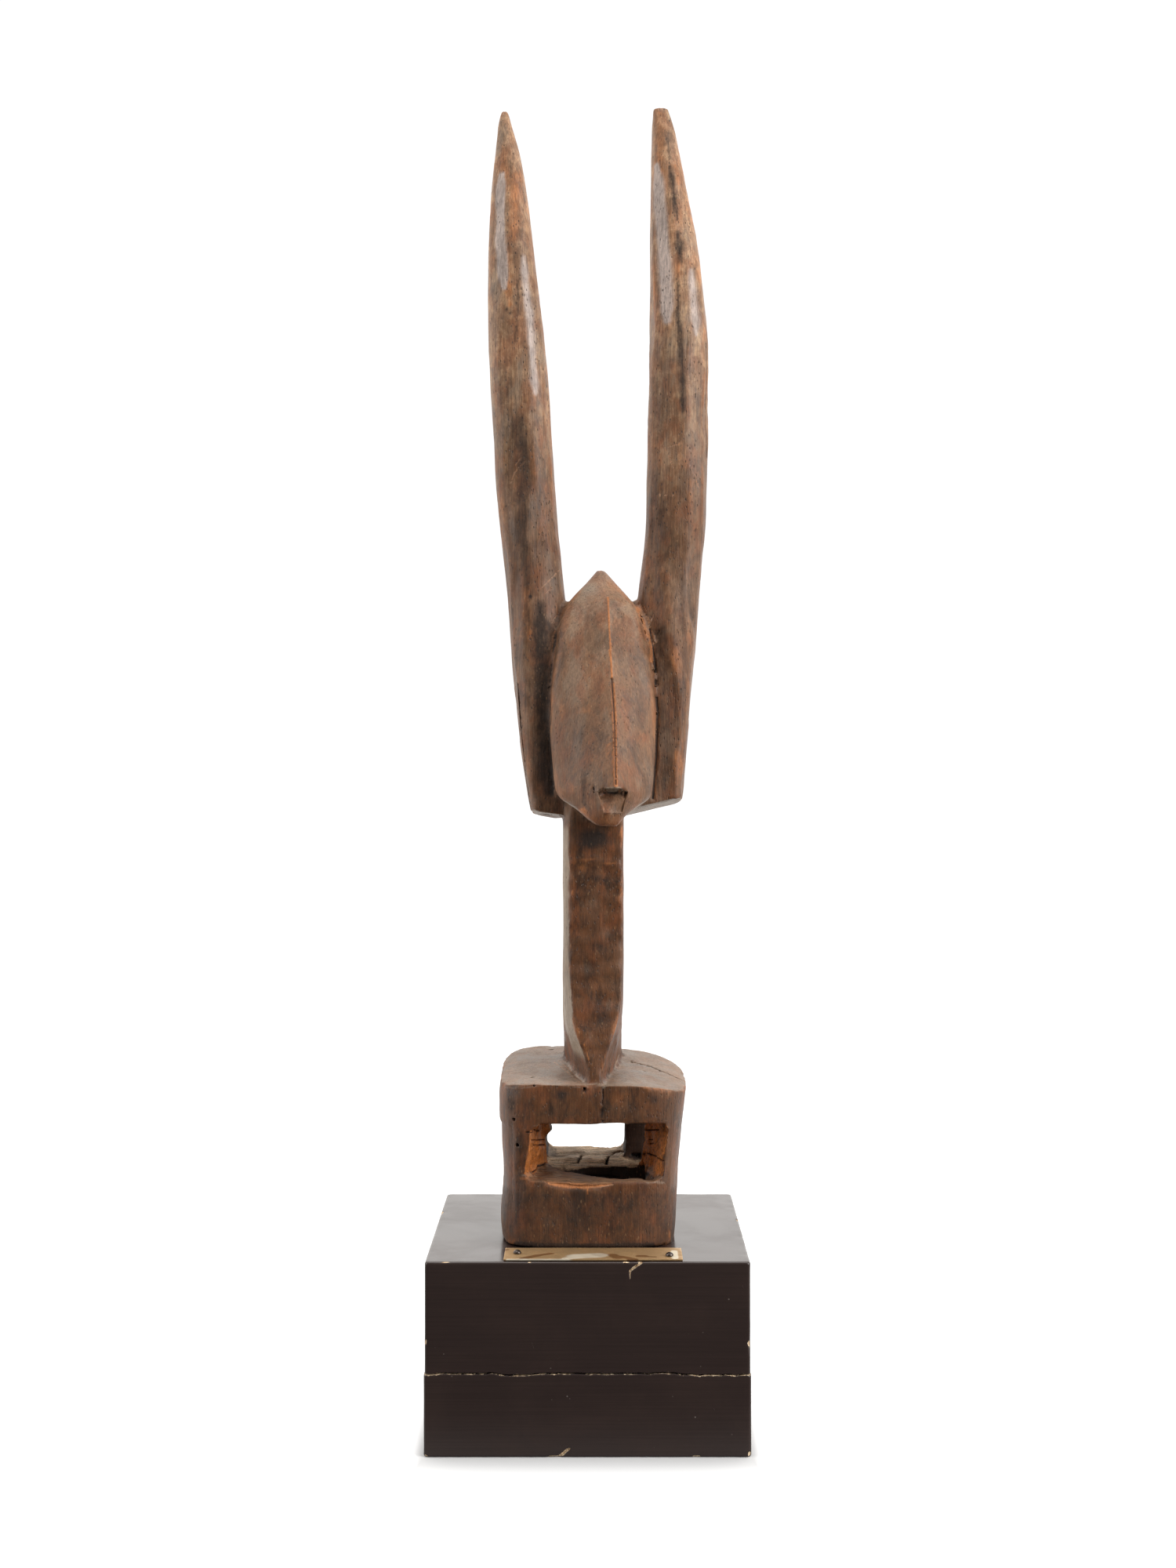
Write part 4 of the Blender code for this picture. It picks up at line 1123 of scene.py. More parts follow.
def grain_group():
    """Long streaks, short open pores and soft blotches of a hard wood whose grain runs up."""
    if "wood_grain" in bpy.data.node_groups:
        return bpy.data.node_groups["wood_grain"]
    names = ("Streaks", "Pores", "Flecks", "Fine", "Red")
    nodes, start, warp, end = new_group("wood_grain", "Warp", 0.0015, names)
    wander = nodes.add("TexNoise", {"Vector": start, "Scale": 28.0, "Detail": 2.0}).outputs[1]
    centred = nodes.vector("SUBTRACT", wander, (0.5, 0.5, 0.5))
    shift = nodes.add("VectorMath", {0: centred, "Scale": warp}, operation="SCALE").outputs[0]
    place = nodes.vector("ADD", start, shift)
    made = [nodes.streaks(place, 0.0009, 0.020, 4.0, 0.6)]
    for across, along, seed in ((0.0015, 0.0034, 0.0), (0.0016, 0.0040, 7.0)):
        moved = nodes.vector("ADD", place, (seed, seed, seed))
        dots = nodes.step(nodes.cells(nodes.stretched(moved, across, along), 1.0), 0.12, 0.26, 1.0, 0.0)
        sparse = nodes.streaks(place, 0.006, 0.014, 3.0, 0.6, 0.0, seed + 2.0)
        made.append(nodes.times(dots, nodes.step(sparse, 0.38, 0.56)))
    made.append(nodes.streaks(place, 0.00065, 0.0075, 4.0, 0.70))
    made.append(nodes.streaks(place, 0.008, 0.016, 5.0, 0.62, 0.5, 5.0))
    for value, socket in zip(made, end):
        nodes.put(value, socket)
    return nodes.tree


def scuff_group():
    """Fine scratches, specks and smears that handling leaves on paint and metal."""
    if "handling_scuffs" in bpy.data.node_groups:
        return bpy.data.node_groups["handling_scuffs"]
    names = ("Scratches", "Specks", "Smears")
    nodes, place, amount, end = new_group("handling_scuffs", "Amount", 0.5, names)
    lines = 0.0
    for angle in (0.35, -0.9, 1.9):
        thin = nodes.streaks(nodes.turned(place, angle, (0.35, 0.9, 0.25)), 0.0011, 0.03, 2.0, 0.5)
        lines = nodes.larger(lines, nodes.step(thin, 0.745, 0.80))
    where = nodes.step(nodes.noise(place, 32.0, 3.0), 0.50, 0.66)
    small = nodes.step(nodes.cells(place, 230.0), 0.05, 0.11, 1.0, 0.0)
    chosen = nodes.step(nodes.noise(place, 60.0, 3.0), 0.56, 0.66)
    smears = nodes.noise(place, 26.0, 4.0, 0.6, 0.6)
    made = (nodes.times(lines, where, amount), nodes.times(small, chosen, amount), smears)
    for value, socket in zip(made, end):
        nodes.put(value, socket)
    return nodes.tree


def new_material(name):
    """A material, its nodes, the inputs of its Principled shader and the place on the object."""
    material = bpy.data.materials.new(name)
    material.use_nodes = True
    material.node_tree.nodes.clear()
    nodes = Nodes(material.node_tree)
    shader = nodes.add("BsdfPrincipled")
    nodes.add("OutputMaterial", {0: shader.outputs[0]})
    return material, nodes, shader.inputs, nodes.add("TexCoord").outputs["Object"]


def aged_wood(choices):
    """Old hardwood: brown patina over orange wood, with stains, pores, dust and open grain, and with
    painted shade, sheen and highlights where the marks call for them.
    """
    material, nodes, shader, place = new_material("aged_carved_wood")
    grain = nodes.group(grain_group(), place, 0.0016)
    kinds = ("worn", "stain_and_shade", "pale", "polish_and_highlight", "deep", "fine", "grey", "raw", "calm", "flat")
    marks = {kind: nodes.mark(kind) for kind in kinds}
    lively = nodes.less(1.0, nodes.times(marks["calm"], 0.45))
    deep, upper = marks["deep"], nodes.less(1.0, marks["deep"])
    tear = nodes.streaks(place, 0.0030, 0.0044, 6.0, 0.74, 0.3, 1.0)
    crust = nodes.streaks(place, 0.0056, 0.0076, 7.0, 0.74, 0.5, 3.0)
    mottle = nodes.streaks(place, 0.0095, 0.0230, 7.0, 0.70, 0.4, 2.0)
    mauve = nodes.streaks(place, 0.012, 0.034, 5.0, 0.60, 0.3, 4.0)
    cloud = nodes.streaks(place, 0.035, 0.06, 3.0, 0.6, 0.0, 6.0)
    level = nodes.turned(place, math.pi / 2, (0, 1, 0))
    bands = nodes.streaks(level, 0.0011, 0.014, 4.0, 0.6, 0.2, 9.0)
    film = nodes.times(nodes.step(mauve, 0.49, 0.62, 0.0, 0.52), nodes.math("ADD", upper, 0.12))
    tan = nodes.times(nodes.step(crust, 0.47, 0.62, 0.0, 0.66), nodes.larger(upper, 0.16), lively)
    dark = nodes.times(nodes.step(mottle, 0.46, 0.64), nodes.math("ADD", nodes.times(deep, 0.40), 0.28))
    # Silver flats: polish and a painted highlight together
    polish_and_highlight = nodes.broken(marks["polish_and_highlight"], tear, 0.95, 0.7)
    # Stains, some real and some painted shade, torn at their edges
    stain_and_shade = nodes.broken(marks["stain_and_shade"], tear, 0.92)

    layers = (
        (film, choices.dust_and_sheen),
        (tan, choices.tan),
        (nodes.times(nodes.step(grain["Red"], 0.46, 0.62), 0.40), choices.rust),
        (dark, choices.soot_and_shade),
        (nodes.times(deep, nodes.step(crust, 0.49, 0.62, 0.0, 0.50)), choices.soot_and_shade),
        # Pale marks: dust and scratches, and also painted sheen and highlights
        (nodes.broken(marks["pale"], tear, 0.85, 0.6), choices.dust_and_sheen),
        (nodes.broken(marks["worn"], tear, 0.95), choices.bare),
        (polish_and_highlight, choices.polish_and_highlight),
        (nodes.times(marks["raw"], 0.9), choices.raw),
        (nodes.times(marks["grey"], 0.9), choices.torn),
        (stain_and_shade, choices.soot_and_shade),
    )
    colour = nodes.layered(nodes.mix(deep, choices.patina, choices.deep_patina), layers)
    colour = nodes.shaded(colour, grain["Streaks"], 0.38, 0.58, 0.80, 1.10, lively)
    colour = nodes.shaded(colour, grain["Fine"], 0.40, 0.60, 0.86, 1.13)
    colour = nodes.shaded(colour, crust, 0.40, 0.60, 0.86, 1.12, lively)
    colour = nodes.shaded(colour, cloud, 0.30, 0.70, 0.82, 1.18)
    # Painted sheen on the near bank of the window's floor
    bank = nodes.times(nodes.less(marks["flat"], marks["grey"], clamp=True), 0.6, nodes.less(1.0, stain_and_shade))
    colour = nodes.mix(bank, colour, BANK_SHEEN_BROWN)
    across = nodes.larger(marks["flat"], nodes.times(marks["raw"], 0.8))
    colour = nodes.shaded(colour, bands, 0.36, 0.58, 0.50, 1.25, across)
    layers = (
        (nodes.times(grain["Flecks"], nodes.step(tear, 0.44, 0.60), 0.30), FLECK_TAN),
        (nodes.times(grain["Pores"], nodes.math("ADD", nodes.times(lively, 0.6), 0.1)), choices.soot_and_shade),
        # Painted shade inside cracks and holes
        (marks["fine"], CRACK_SHADE_BLACK),
    )
    nodes.put(nodes.layered(colour, layers), shader["Base Color"])

    smooth = nodes.step(mottle, 0.35, 0.65, 0.56, 0.42)
    rough = nodes.total((smooth,), (polish_and_highlight, -0.14), (nodes.larger(across, stain_and_shade), 0.28))
    nodes.put(rough, shader["Roughness"])
    shader["Specular IOR Level"].default_value = 0.36
    reliefs = (("Streaks", 0.6), ("Fine", 0.35), ("Pores", -0.6))
    heights = [(grain[name], weight) for name, weight in reliefs]
    height = nodes.total(*heights, (tear, 0.4), (bands, across, 1.2))
    nodes.put(nodes.bump(height, choices.grain_depth), shader["Normal"])
    return material


def painted_board(choices):
    """Satin brown paint with brush lines, scratches and chips down to pale wood."""
    material, nodes, shader, place = new_material("satin_plinth_paint")
    scuffs = nodes.group(scuff_group(), place, 0.55)
    grain = nodes.group(grain_group(), place, 0.001)
    brush = nodes.streaks(nodes.turned(place, math.pi / 2, (0, 1, 0)), 0.0009, 0.07, 3.0, 0.6)
    tear = nodes.less(nodes.noise(place, 620.0, 3.0, 0.6), 0.5)
    chipped = nodes.step(nodes.total((nodes.mark("bare"),), (tear, 0.5)), 0.36, 0.48)
    flat = nodes.vector("MULTIPLY", place, (1.0, 1.0, 0.0))
    here = nodes.step(nodes.noise(flat, 150.0, 4.0, 0.7, 0.0, 3.0), 0.44, 0.54)
    here = nodes.larger(here, nodes.mark("seam_ends"))
    reach = nodes.step(nodes.noise(flat, 420.0, 4.0, 0.7, 0.0, 8.0), 0.35, 0.75, 0.0, 0.85)
    opened = nodes.less(nodes.times(reach, here), nodes.mark("from_seam"))
    bare = nodes.larger(chipped, nodes.step(opened, 0.04, 0.16))
    layers = (
        (nodes.times(scuffs["Scratches"], 0.30), from_screen(150, 132, 122)),
        (nodes.times(scuffs["Specks"], 0.7), from_screen(170, 158, 150)),
    )
    smears = nodes.step(scuffs["Smears"], 0.40, 0.70, 0.0, 0.30)
    paint = nodes.mix(smears, choices.paint, from_screen(60, 44, 38))
    paint = nodes.shaded(paint, brush, 0.30, 0.70, 0.92, 1.08)
    lines = nodes.step(grain["Streaks"], 0.35, 0.65, 0.0, 0.8)
    wood = nodes.mix(lines, choices.board, from_screen(150, 108, 66))
    nodes.put(nodes.mix(bare, nodes.layered(paint, layers), wood), shader["Base Color"])
    satin = nodes.step(scuffs["Smears"], 0.35, 0.65, 0.17, 0.27)
    nodes.put(nodes.total((satin,), (bare, 0.45), (scuffs["Scratches"], 0.15)), shader["Roughness"])
    height = nodes.total((brush, 0.30), (scuffs["Scratches"], -0.5), (bare, -1.2))
    nodes.put(nodes.bump(height, 0.00004), shader["Normal"])
    return material


def old_brass(choices):
    """Thin brass sheet with brown tarnish and painted reflections, blank."""
    material, nodes, shader, place = new_material("worn_blank_brass")
    scuffs = nodes.group(scuff_group(), place, 0.9)
    film = nodes.noise(place, 90.0, 6.0, 0.65, 1.0)
    streaky = nodes.noise(place, 420.0, 4.0, 0.65)
    brown = nodes.broken(nodes.mark("brown"), streaky, 0.9, 0.6)
    layers = (
        (nodes.step(film, 0.42, 0.62, 0.15, 0.55), from_screen(150, 114, 74)),
        (brown, choices.tarnish),
        # Painted reflections on the brass
        (nodes.broken(nodes.mark("painted_reflection"), streaky, 0.85, 0.35), from_screen(240, 230, 208)),
        (nodes.times(scuffs["Specks"], 0.5), from_screen(60, 44, 30)),
    )
    nodes.put(nodes.layered(choices.brass, layers), shader["Base Color"])
    nodes.put(nodes.less(0.75, nodes.times(brown, 0.3)), shader["Metallic"])
    dull = nodes.step(film, 0.40, 0.60, 0.42, 0.58)
    nodes.put(nodes.total((dull,), (scuffs["Scratches"], 0.2)), shader["Roughness"])
    height = nodes.total((scuffs["Scratches"], -0.6), (film, 0.6))
    nodes.put(nodes.bump(height, 0.00008), shader["Normal"])
    return material


def dark_steel(choices):
    """Steel pin heads gone dark, with small rubbed places."""
    material, nodes, shader, place = new_material("dark_steel_pins")
    scuffs = nodes.group(scuff_group(), place, 1.0)
    pits = nodes.noise(place, 1400.0, 3.0, 0.6)
    layers = (
        (nodes.step(pits, 0.45, 0.62, 0.0, 0.8), from_screen(44, 34, 28)),
        (nodes.times(scuffs["Scratches"], 0.5), from_screen(170, 165, 160)),
    )
    nodes.put(nodes.layered(choices.steel, layers), shader["Base Color"])
    shader["Metallic"].default_value = 1.0
    nodes.put(nodes.step(pits, 0.35, 0.65, 0.25, 0.5), shader["Roughness"])
    nodes.put(nodes.bump(pits, 0.00005), shader["Normal"])
    return material


def finish_piece(item, node, material):
    item.data.materials.clear()
    item.data.materials.append(material)
    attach(item, "root")
    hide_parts(node)


# The painted boards
def places_along(low, high, dense, fine, coarse):
    """Places from low to high, a fine step apart near each dense place and a coarse one elsewhere."""
    places = [low]
    while places[-1] < high:
        near = any(abs(places[-1] - middle) < reach for middle, reach in dense)
        places.append(places[-1] + (fine if near else coarse))
    places[-1] = high
    if places[-1] - places[-2] < fine * 0.5:
        del places[-2]
    return places


def board_outline(half_x, half_y, radius, chips):
    """Places round a board seen from above, closer together near its chips."""
    sides = (
        ((0, -1), half_x, half_y, [(p[0], r[0] + 1) for p, r, _ in chips if p[1] < 4 - half_y]),
        ((1, 0), half_y, half_x, [(p[1], r[1] + 1) for p, r, _ in chips if p[0] > half_x - 4]),
        ((0, 1), half_x, half_y, [(-p[0], r[0] + 1) for p, r, _ in chips if p[1] > half_y - 4]),
        ((-1, 0), half_y, half_x, [(-p[1], r[1] + 1) for p, r, _ in chips if p[0] < 4 - half_x]),
    )
    outline = []
    for (out_x, out_y), half, away, dense in sides:
        for along in places_along(radius - half, half - radius, dense, 0.4, 1.1):
            outline.append((out_x * away - out_y * along, out_y * away + out_x * along))
        start = math.atan2(out_y, out_x)
        centre_along, centre_away = half - radius, away - radius
        for i in range(1, 5):
            angle = start + math.pi / 2 * i / 5
            outline.append(
                (
                    out_x * centre_away - out_y * centre_along + radius * math.cos(angle),
                    out_y * centre_away + out_x * centre_along + radius * math.sin(angle),
                )
            )
    return np.array(outline)


def board_skin(node, chips, seam, choices):
    """A board with eased edges, worn along the seam and chipped where the photograph shows it."""
    low, high = (np.array(corner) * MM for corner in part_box(node))
    half = (high - low)[:2] / 2
    edge = choices.edge * MM
    top_edge, foot_edge = (0.15, edge) if abs(high[2] - seam) < 1 else (edge, 0.15)
    outline = board_outline(half[0], half[1], 1.6, chips)
    dense = [(seam, 2.4)] + [(place[2], radius[2] + 1) for place, radius, _ in chips]
    insets = (30.0, 12.0, 6.0, 3.2, 1.9, 1.1)
    rings = [(max(inset, foot_edge * 1.3), low[2]) for inset in insets]
    arc = [math.pi / 2 * i / 3 for i in range(4)]
    rings += [(foot_edge * (1 - math.sin(a)), low[2] + foot_edge * (1 - math.cos(a))) for a in arc]
    heights = places_along(low[2] + foot_edge, high[2] - top_edge, dense, 0.38, 5.0)
    rings += [(0.0, z) for z in heights[1:-1]]
    rings += [(top_edge * (1 - math.cos(a)), high[2] - top_edge * (1 - math.sin(a))) for a in arc]
    rings += [(max(inset, top_edge * 1.3), high[2]) for inset in reversed(insets)]
    rows = [np.column_stack((outline * (1 - inset / half), np.full(len(outline), z))) for inset, z in rings]
    count = len(outline)
    centre = [[0.0, 0.0, low[2]], [0.0, 0.0, high[2]]]
    points = np.concatenate(rows + [np.array(centre)])
    insets_all = np.repeat([inset for inset, _ in rings], count)
    near_edge = np.concatenate([1 - ease(insets_all, 2.0, 4.0), [0.0, 0.0]])
    i = np.arange(count)
    j = (i + 1) % count
    made = []
    for row in range(len(rings) - 1):
        a, b = row * count + i, row * count + j
        made += [np.stack((a, b, b + count), axis=1), np.stack((a, b + count, a + count), axis=1)]
    foot, head = len(points) - 2, len(points) - 1
    last = (len(rings) - 1) * count
    made += [np.stack((j, i, np.full(count, foot)), axis=1)]
    made += [np.stack((last + i, last + j, np.full(count, head)), axis=1)]
    triangles = np.concatenate(made)
    normals = normals_of(points, triangles)
    out = 0.12 * (soft_noise(points, 6, 61) - 0.6) * near_edge
    to_seam = np.abs(points[:, 2] - seam)
    level = points * (1, 1, 0)
    out -= 0.3 * (1 - ease(to_seam, 0.2, choices.seam_wear * MM)) * near_edge
    bare = np.zeros(len(points))
    ends = 0.8 * ease(np.abs(points[:, 0]), 56, 70) * (points[:, 1] < 0)
    for place, radius, depth in chips:
        rough = 0.6 + 0.8 * soft_noise(points, 1.1, 79)
        share = 1 - ease(np.linalg.norm((points - place) / radius, axis=1) * rough, 0.55, 1.0)
        out -= depth * share
        bare = np.maximum(bare, share)
    points = points + normals * out[:, None]
    wander = 1.4 * (soft_noise(level, 16, 73) - 0.5) + 0.8 * (soft_noise(level, 4, 75) - 0.5)
    wander += 0.4 * (soft_noise(level, 1.2, 77) - 0.5)
    points[:, 2] += wander * near_edge * (1 - ease(to_seam, 0.6, 7.0))
    return points, triangles, {"bare": bare, "from_seam": to_seam, "seam_ends": ends}


class CREST_OT_carve_figure(bpy.types.Operator):
    """Carve the antelope: adze cuts, cracks, beetle holes and worn patina over the model's solid"""

    bl_idname = "crest.carve_figure"
    bl_label = "Carve the Antelope"

    def execute(self, context):
        choices = context.scene.crest_carving
        wood = Wood()
        points, triangles = even_skin(wood, choices.skin_step)
        if len(points) < 1000:
            raise RuntimeError("the even skin over the figure came out empty")
        points = drawn_to(wood, points)
        points, triangles = finer_net(wood, points, triangles, choices.detail_step * MM)
        edges, _ = edges_of(triangles)
        points = relaxed(points, edges, 2)
        uncut = points
        points = adze_cuts(wood, points, normals_of(points, triangles), edges)
        normals = normals_of(points, triangles)
        points = points + normals * hand_cut(points, normals, choices)[:, None]
        open_floor(points, normals)
        plain = points.copy()
        patch = cut_mouth(points, normals)
        normals = normals_of(points, triangles)
        points, marks = mark_wood(wood, points, normals, uncut)
        leave(marks, "stain_and_shade", 0.36 * patch)
        leave(marks, "worn", 0.45 * patch)
        marks = weather(plain, normals, edges, marks)
        item = make_mesh("carved_antelope", points, triangles, marks)
        finish_piece(item, "antelope_figure", aged_wood(choices))
        return {"FINISHED"}


class CREST_OT_make_plinth(bpy.types.Operator):
    """Make the plinth's two painted boards with their chipped edges and the open seam between them"""

    bl_idname = "crest.make_plinth"
    bl_label = "Make the Plinth"

    def execute(self, context):
        choices = context.scene.crest_plinth
        material = painted_board(choices)
        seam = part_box("plinth_lower_board")[1].z * MM
        jobs = (
            ("painted_upper_board", "plinth_upper_board", UPPER_CHIPS),
            ("painted_lower_board", "plinth_lower_board", LOWER_CHIPS),
        )
        for name, node, chips in jobs:
            points, triangles, marks = board_skin(node, chips, seam, choices)
            item = make_mesh(name, points, triangles, marks)
            item.data.set_sharp_from_angle(angle=math.radians(50))
            finish_piece(item, node, material)
        return {"FINISHED"}


class CREST_OT_make_plate(bpy.types.Operator):
    """Make the blank brass plate and the two domed pins that hold it"""

    bl_idname = "crest.make_plate"
    bl_label = "Make the Plate and Pins"

    def execute(self, context):
        choices = context.scene.crest_plate
        brass, steel = old_brass(choices), dark_steel(choices)
        low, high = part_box("name_plate")
        cage = bmesh.new()
        bmesh.ops.create_cube(cage, size=1.0)
        for vertex in cage.verts:
            vertex.co = Vector(
                [low[axis] + (vertex.co[axis] + 0.5) * (high[axis] - low[axis]) for axis in range(3)]
            )
        long_edges = [e for e in cage.edges if abs(e.verts[0].co.x - e.verts[1].co.x) > 0.01]
        bmesh.ops.subdivide_edges(cage, edges=long_edges, cuts=119, use_grid_fill=True)
        deep_edges = [e for e in cage.edges if abs(e.verts[0].co.y - e.verts[1].co.y) > 0.01]
        bmesh.ops.subdivide_edges(cage, edges=deep_edges, cuts=31, use_grid_fill=True)
        outline = [e for e in cage.edges if e.calc_face_angle(0) > 1.0]
        bmesh.ops.bevel(cage, geom=outline, offset=choices.edge, segments=2, profile=0.5, affect="EDGES")
        bmesh.ops.triangulate(cage, faces=cage.faces)
        points = np.array([v.co[:] for v in cage.verts]) * MM
        triangles = np.array([[v.index for v in face.verts] for face in cage.faces])
        cage.free()
        top = ease(points[:, 2], low.z * MM + 0.5, low.z * MM + 0.7)
        dent = choices.dent * MM
        points[:, 2] += top * dent * (soft_noise(points, 9, 83) - 0.7)
        marks = {"brown": np.zeros(len(points)), "painted_reflection": np.zeros(len(points))}
        for kind, start, end, half in PLATE_PATCHES:
            away = distance_to_path(points * (1, 1, 0), ((*start, 0), (*end, 0)), half * 2)
            leave(marks, kind, 1 - ease(away, half * 0.3, half * 1.4))
        plate = make_mesh("blank_brass_plate", points, triangles, marks)
        plate.data.set_sharp_from_angle(angle=math.radians(35))
        finish_piece(plate, "name_plate", brass)
        for side in ("left", "right"):
            node = f"plate_pin_{side}"
            pin = turned_pin(f"domed_pin_{side}", node)
            finish_piece(pin, node, steel)
        return {"FINISHED"}


def turned_pin(name, node):
    """A domed head with a soft rim, on its straight shank."""
    low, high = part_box(node)
    centre = ((low.x + high.x) / 2, (low.y + high.y) / 2)
    radius = (high.x - low.x) / 2
    head = PIN_HEAD
    profile = []
    for i in range(13):
        angle = math.pi / 2 * i / 12
        rim = 1 - 0.03 * (i == 12)
        profile.append((radius * math.sin(angle) * rim, high.z - head + head * math.cos(angle)))
    under = high.z - head - 0.00002
    profile += [(radius * 0.93, under), (PIN_SHANK, under), (PIN_SHANK, low.z + 0.0006), (0.0, low.z)]
    cage = bmesh.new()
    corners = [cage.verts.new((centre[0] + r, centre[1], z)) for r, z in profile]
    spine = [cage.edges.new(pair) for pair in zip(corners, corners[1:])]
    bmesh.ops.spin(
        cage,
        geom=corners + spine,
        cent=(*centre, 0.0),
        axis=(0, 0, 1),
        angle=2 * math.pi,
        steps=40,
        use_merge=True,
    )
    bmesh.ops.remove_doubles(cage, verts=cage.verts, dist=1e-6)
    bmesh.ops.recalc_face_normals(cage, faces=cage.faces)
    mesh = bpy.data.meshes.new(name)
    cage.to_mesh(mesh)
    cage.free()
    mesh.shade_smooth()
    mesh.set_sharp_from_angle(angle=math.radians(40))
    item = bpy.data.objects.new(name, mesh)
    bpy.context.scene.collection.objects.link(item)
    return item


# The studio
def emptied(tree):
    tree.nodes.clear()
    return Nodes(tree)


def pale_floor(choices):
    """A white floor that melts into the room; in front of the object it gives little light back. To the
    camera it glows as painted light, least beside the plinth, so that the plinth's shadow shows only near
    it.
    """
    material = bpy.data.materials.new("pale_floor")
    material.use_nodes = True
    nodes = emptied(material.node_tree)
    parts = nodes.add("SeparateXYZ", {0: nodes.add("TexCoord").outputs["Object"]}).outputs
    level = nodes.step(parts[1], -0.16, 0.04, 0.08, 0.85)
    plain = nodes.add("BsdfDiffuse", {"Color": nodes.grey(level)}).outputs[0]
    # Painted light: the floor glows more the further it lies from the plinth's sides and front
    beside, before = (nodes.less(nodes.math("ABSOLUTE", parts[axis]), PLINTH_HALF) for axis in (0, 1))
    away = nodes.larger(nodes.times(beside, 6.0), before)
    lift = nodes.step(away, 0.0, 0.042, 0.0, 0.55)
    diffuse = nodes.add("BsdfDiffuse", {"Color": choices.floor}).outputs[0]
    glow = nodes.add("Emission", {"Color": WHITE, "Strength": lift}).outputs[0]
    seen = nodes.add("AddShader", {0: diffuse, 1: glow}).outputs[0]
    camera_ray = nodes.add("LightPath").outputs["Is Camera Ray"]
    mix = nodes.add("MixShader", {0: camera_ray, 1: plain, 2: seen})
    nodes.add("OutputMaterial", {0: mix.outputs[0]})
    return material


def studio_room(strength):
    """A white room that is dim towards the camera, bright behind the object and overhead."""
    world = bpy.data.worlds.new("studio_room")
    bpy.context.scene.world = world
    world.use_nodes = True
    nodes = emptied(world.node_tree)
    parts = nodes.add("SeparateXYZ", {0: nodes.add("TexCoord").outputs["Generated"]}).outputs
    back = nodes.step(parts[1], -0.80, 0.85, 0.14, 1.35)
    over = nodes.step(parts[2], 0.0, 0.9, 0.0, 0.35)
    level = nodes.times(nodes.math("ADD", back, over), strength)
    room = nodes.add("Background", {"Color": (1.0, 0.975, 0.945), "Strength": level}).outputs[0]
    plain = nodes.add("Background", {"Color": WHITE, "Strength": 1.05}).outputs[0]
    camera_ray = nodes.add("LightPath").outputs["Is Camera Ray"]
    mix = nodes.add("MixShader", {0: camera_ray, 1: room, 2: plain})
    nodes.add("OutputWorld", {0: mix.outputs[0]})


def soft_box(name, place, aim, size, power):
    light = bpy.data.lights.new(name, "AREA")
    light.shape = "RECTANGLE"
    light.size, light.size_y = size
    light.energy = power
    item = bpy.data.objects.new(name, light)
    bpy.context.scene.collection.objects.link(item)
    item.location = place
    item.rotation_euler = (Vector(aim) - Vector(place)).to_track_quat("-Z", "Y").to_euler()
    return item


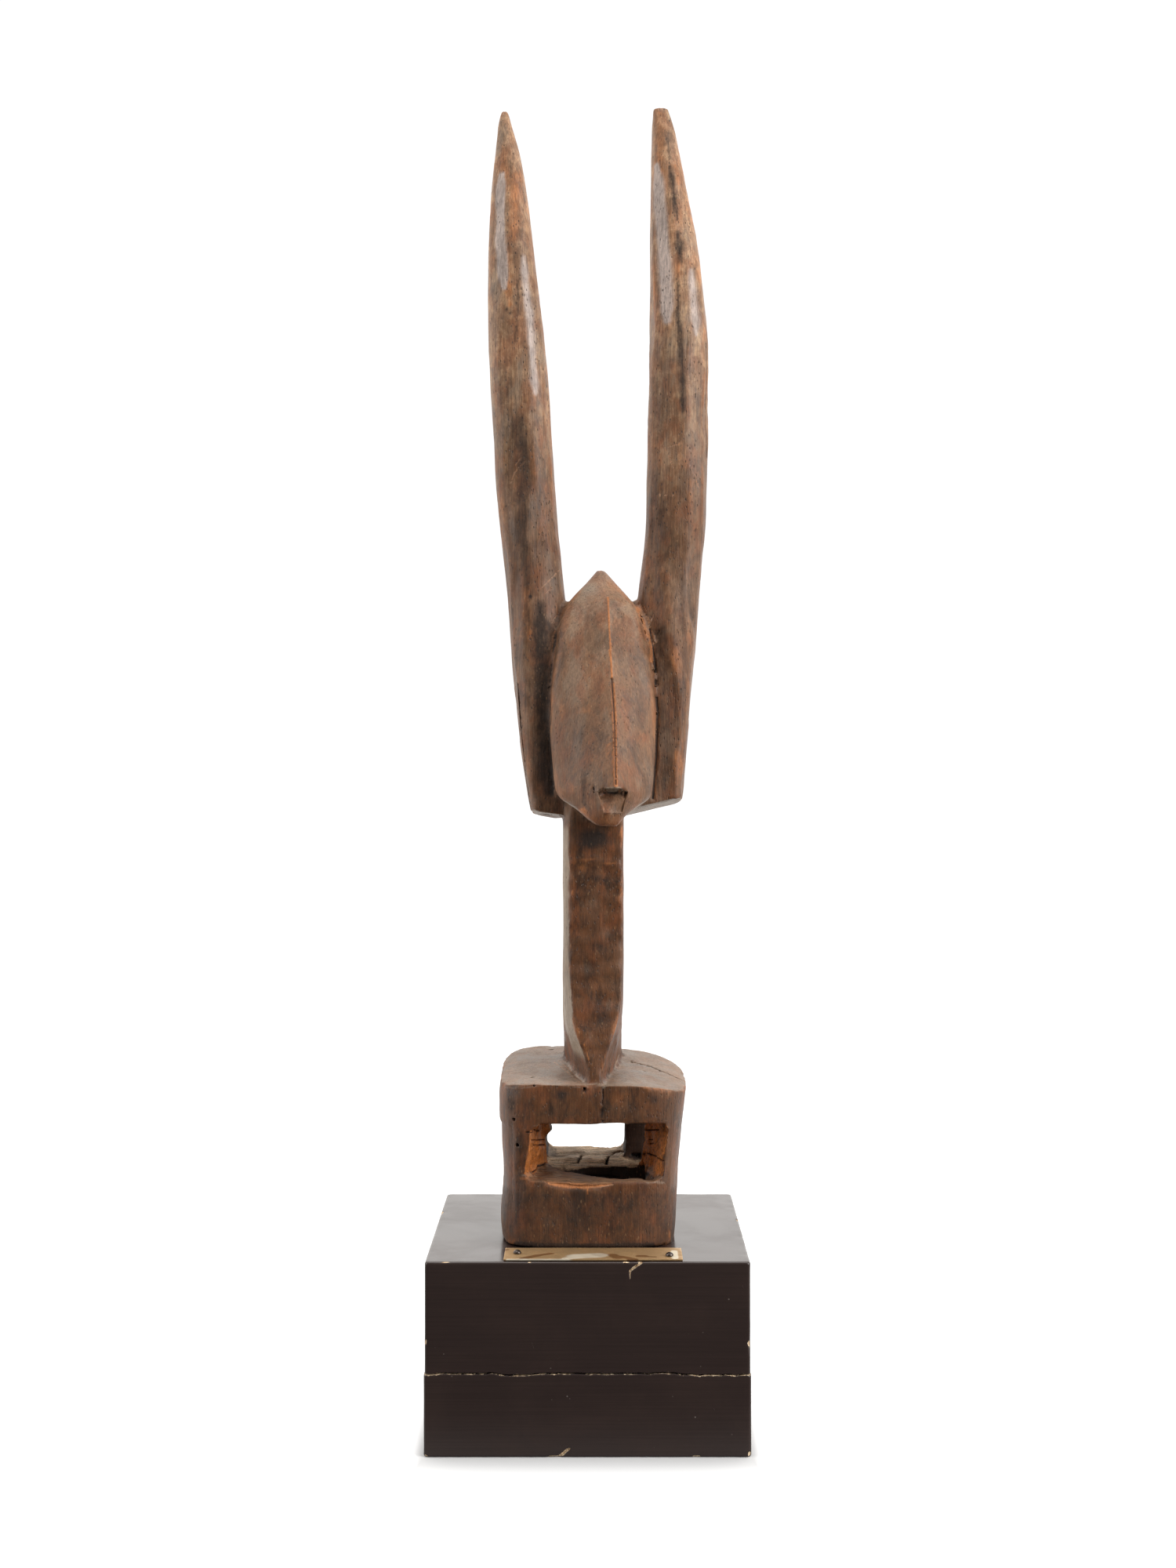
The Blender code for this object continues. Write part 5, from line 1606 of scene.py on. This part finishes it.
class CREST_OT_set_stage(bpy.types.Operator):
    """Set the pale floor, the soft lights and the camera straight ahead of the face"""

    bl_idname = "crest.set_stage"
    bl_label = "Set the Stage"

    def execute(self, context):
        choices = context.scene.crest_stage
        cage = bmesh.new()
        bmesh.ops.create_grid(cage, x_segments=8, y_segments=8, size=9.0)
        mesh = bpy.data.meshes.new("floor")
        cage.to_mesh(mesh)
        cage.free()
        floor = bpy.data.objects.new("floor", mesh)
        context.scene.collection.objects.link(floor)
        mesh.materials.append(pale_floor(choices))
        studio_room(choices.room)
        middle = (0.0, 0.0, 0.3)
        soft_box("soft_box_left", (-1.3, -0.30, 0.65), middle, (0.8, 1.2), 8.0 * choices.key)
        soft_box("soft_box_right", (1.15, -0.75, 0.80), middle, (0.7, 1.2), 20.0 * choices.key)
        soft_box("soft_box_over", (0.0, -0.15, 1.75), middle, (1.2, 0.9), 8.0 * choices.key)
        camera = bpy.data.cameras.new("front_camera")
        camera.lens = LENS
        camera.sensor_width = SENSOR
        camera.shift_x = (PHOTO_SIZE[0] / 2 - PHOTO_CENTRE[0]) / PHOTO_SIZE[1]
        camera.shift_y = (PHOTO_CENTRE[1] - PHOTO_SIZE[1] / 2) / PHOTO_SIZE[1]
        camera.clip_start = 0.01
        camera.clip_end = 50.0
        item = bpy.data.objects.new("front_camera", camera)
        context.scene.collection.objects.link(item)
        item.location = Vector(CAMERA_PLACE) / MM
        item.rotation_euler = (math.pi / 2, 0.0, 0.0)
        context.scene.camera = item
        context.scene.view_settings.view_transform = "Standard"
        return {"FINISHED"}


class CREST_PT_sidebar(bpy.types.Panel):
    bl_idname = "CREST_PT_sidebar"
    bl_label = "Carved Antelope Crest"
    bl_space_type = "VIEW_3D"
    bl_region_type = "UI"
    bl_category = "Crest"

    def draw(self, context):
        rows = (
            ("crest_carving", "crest.carve_figure"),
            ("crest_plinth", "crest.make_plinth"),
            ("crest_plate", "crest.make_plate"),
            ("crest_stage", "crest.set_stage"),
        )
        for settings, operator in rows:
            box = self.layout.box()
            choices = getattr(context.scene, settings)
            for name in choices.bl_rna.properties.keys():
                if name not in ("rna_type", "name"):
                    box.prop(choices, name)
            box.operator(operator)


CLASSES = (
    CarvingChoices,
    PlinthChoices,
    PlateChoices,
    StageChoices,
    CREST_OT_carve_figure,
    CREST_OT_make_plinth,
    CREST_OT_make_plate,
    CREST_OT_set_stage,
    CREST_PT_sidebar,
)


def register():
    for item in CLASSES:
        bpy.utils.register_class(item)
    bpy.types.Scene.crest_carving = PointerProperty(type=CarvingChoices)
    bpy.types.Scene.crest_plinth = PointerProperty(type=PlinthChoices)
    bpy.types.Scene.crest_plate = PointerProperty(type=PlateChoices)
    bpy.types.Scene.crest_stage = PointerProperty(type=StageChoices)


def unregister():
    for name in ("crest_carving", "crest_plinth", "crest_plate", "crest_stage"):
        delattr(bpy.types.Scene, name)
    for item in reversed(CLASSES):
        bpy.utils.unregister_class(item)


def main():
    register()
    bpy.ops.crest.set_stage()
    bpy.ops.crest.carve_figure()
    bpy.ops.crest.make_plinth()
    bpy.ops.crest.make_plate()


if __name__ == "__main__":
    main()
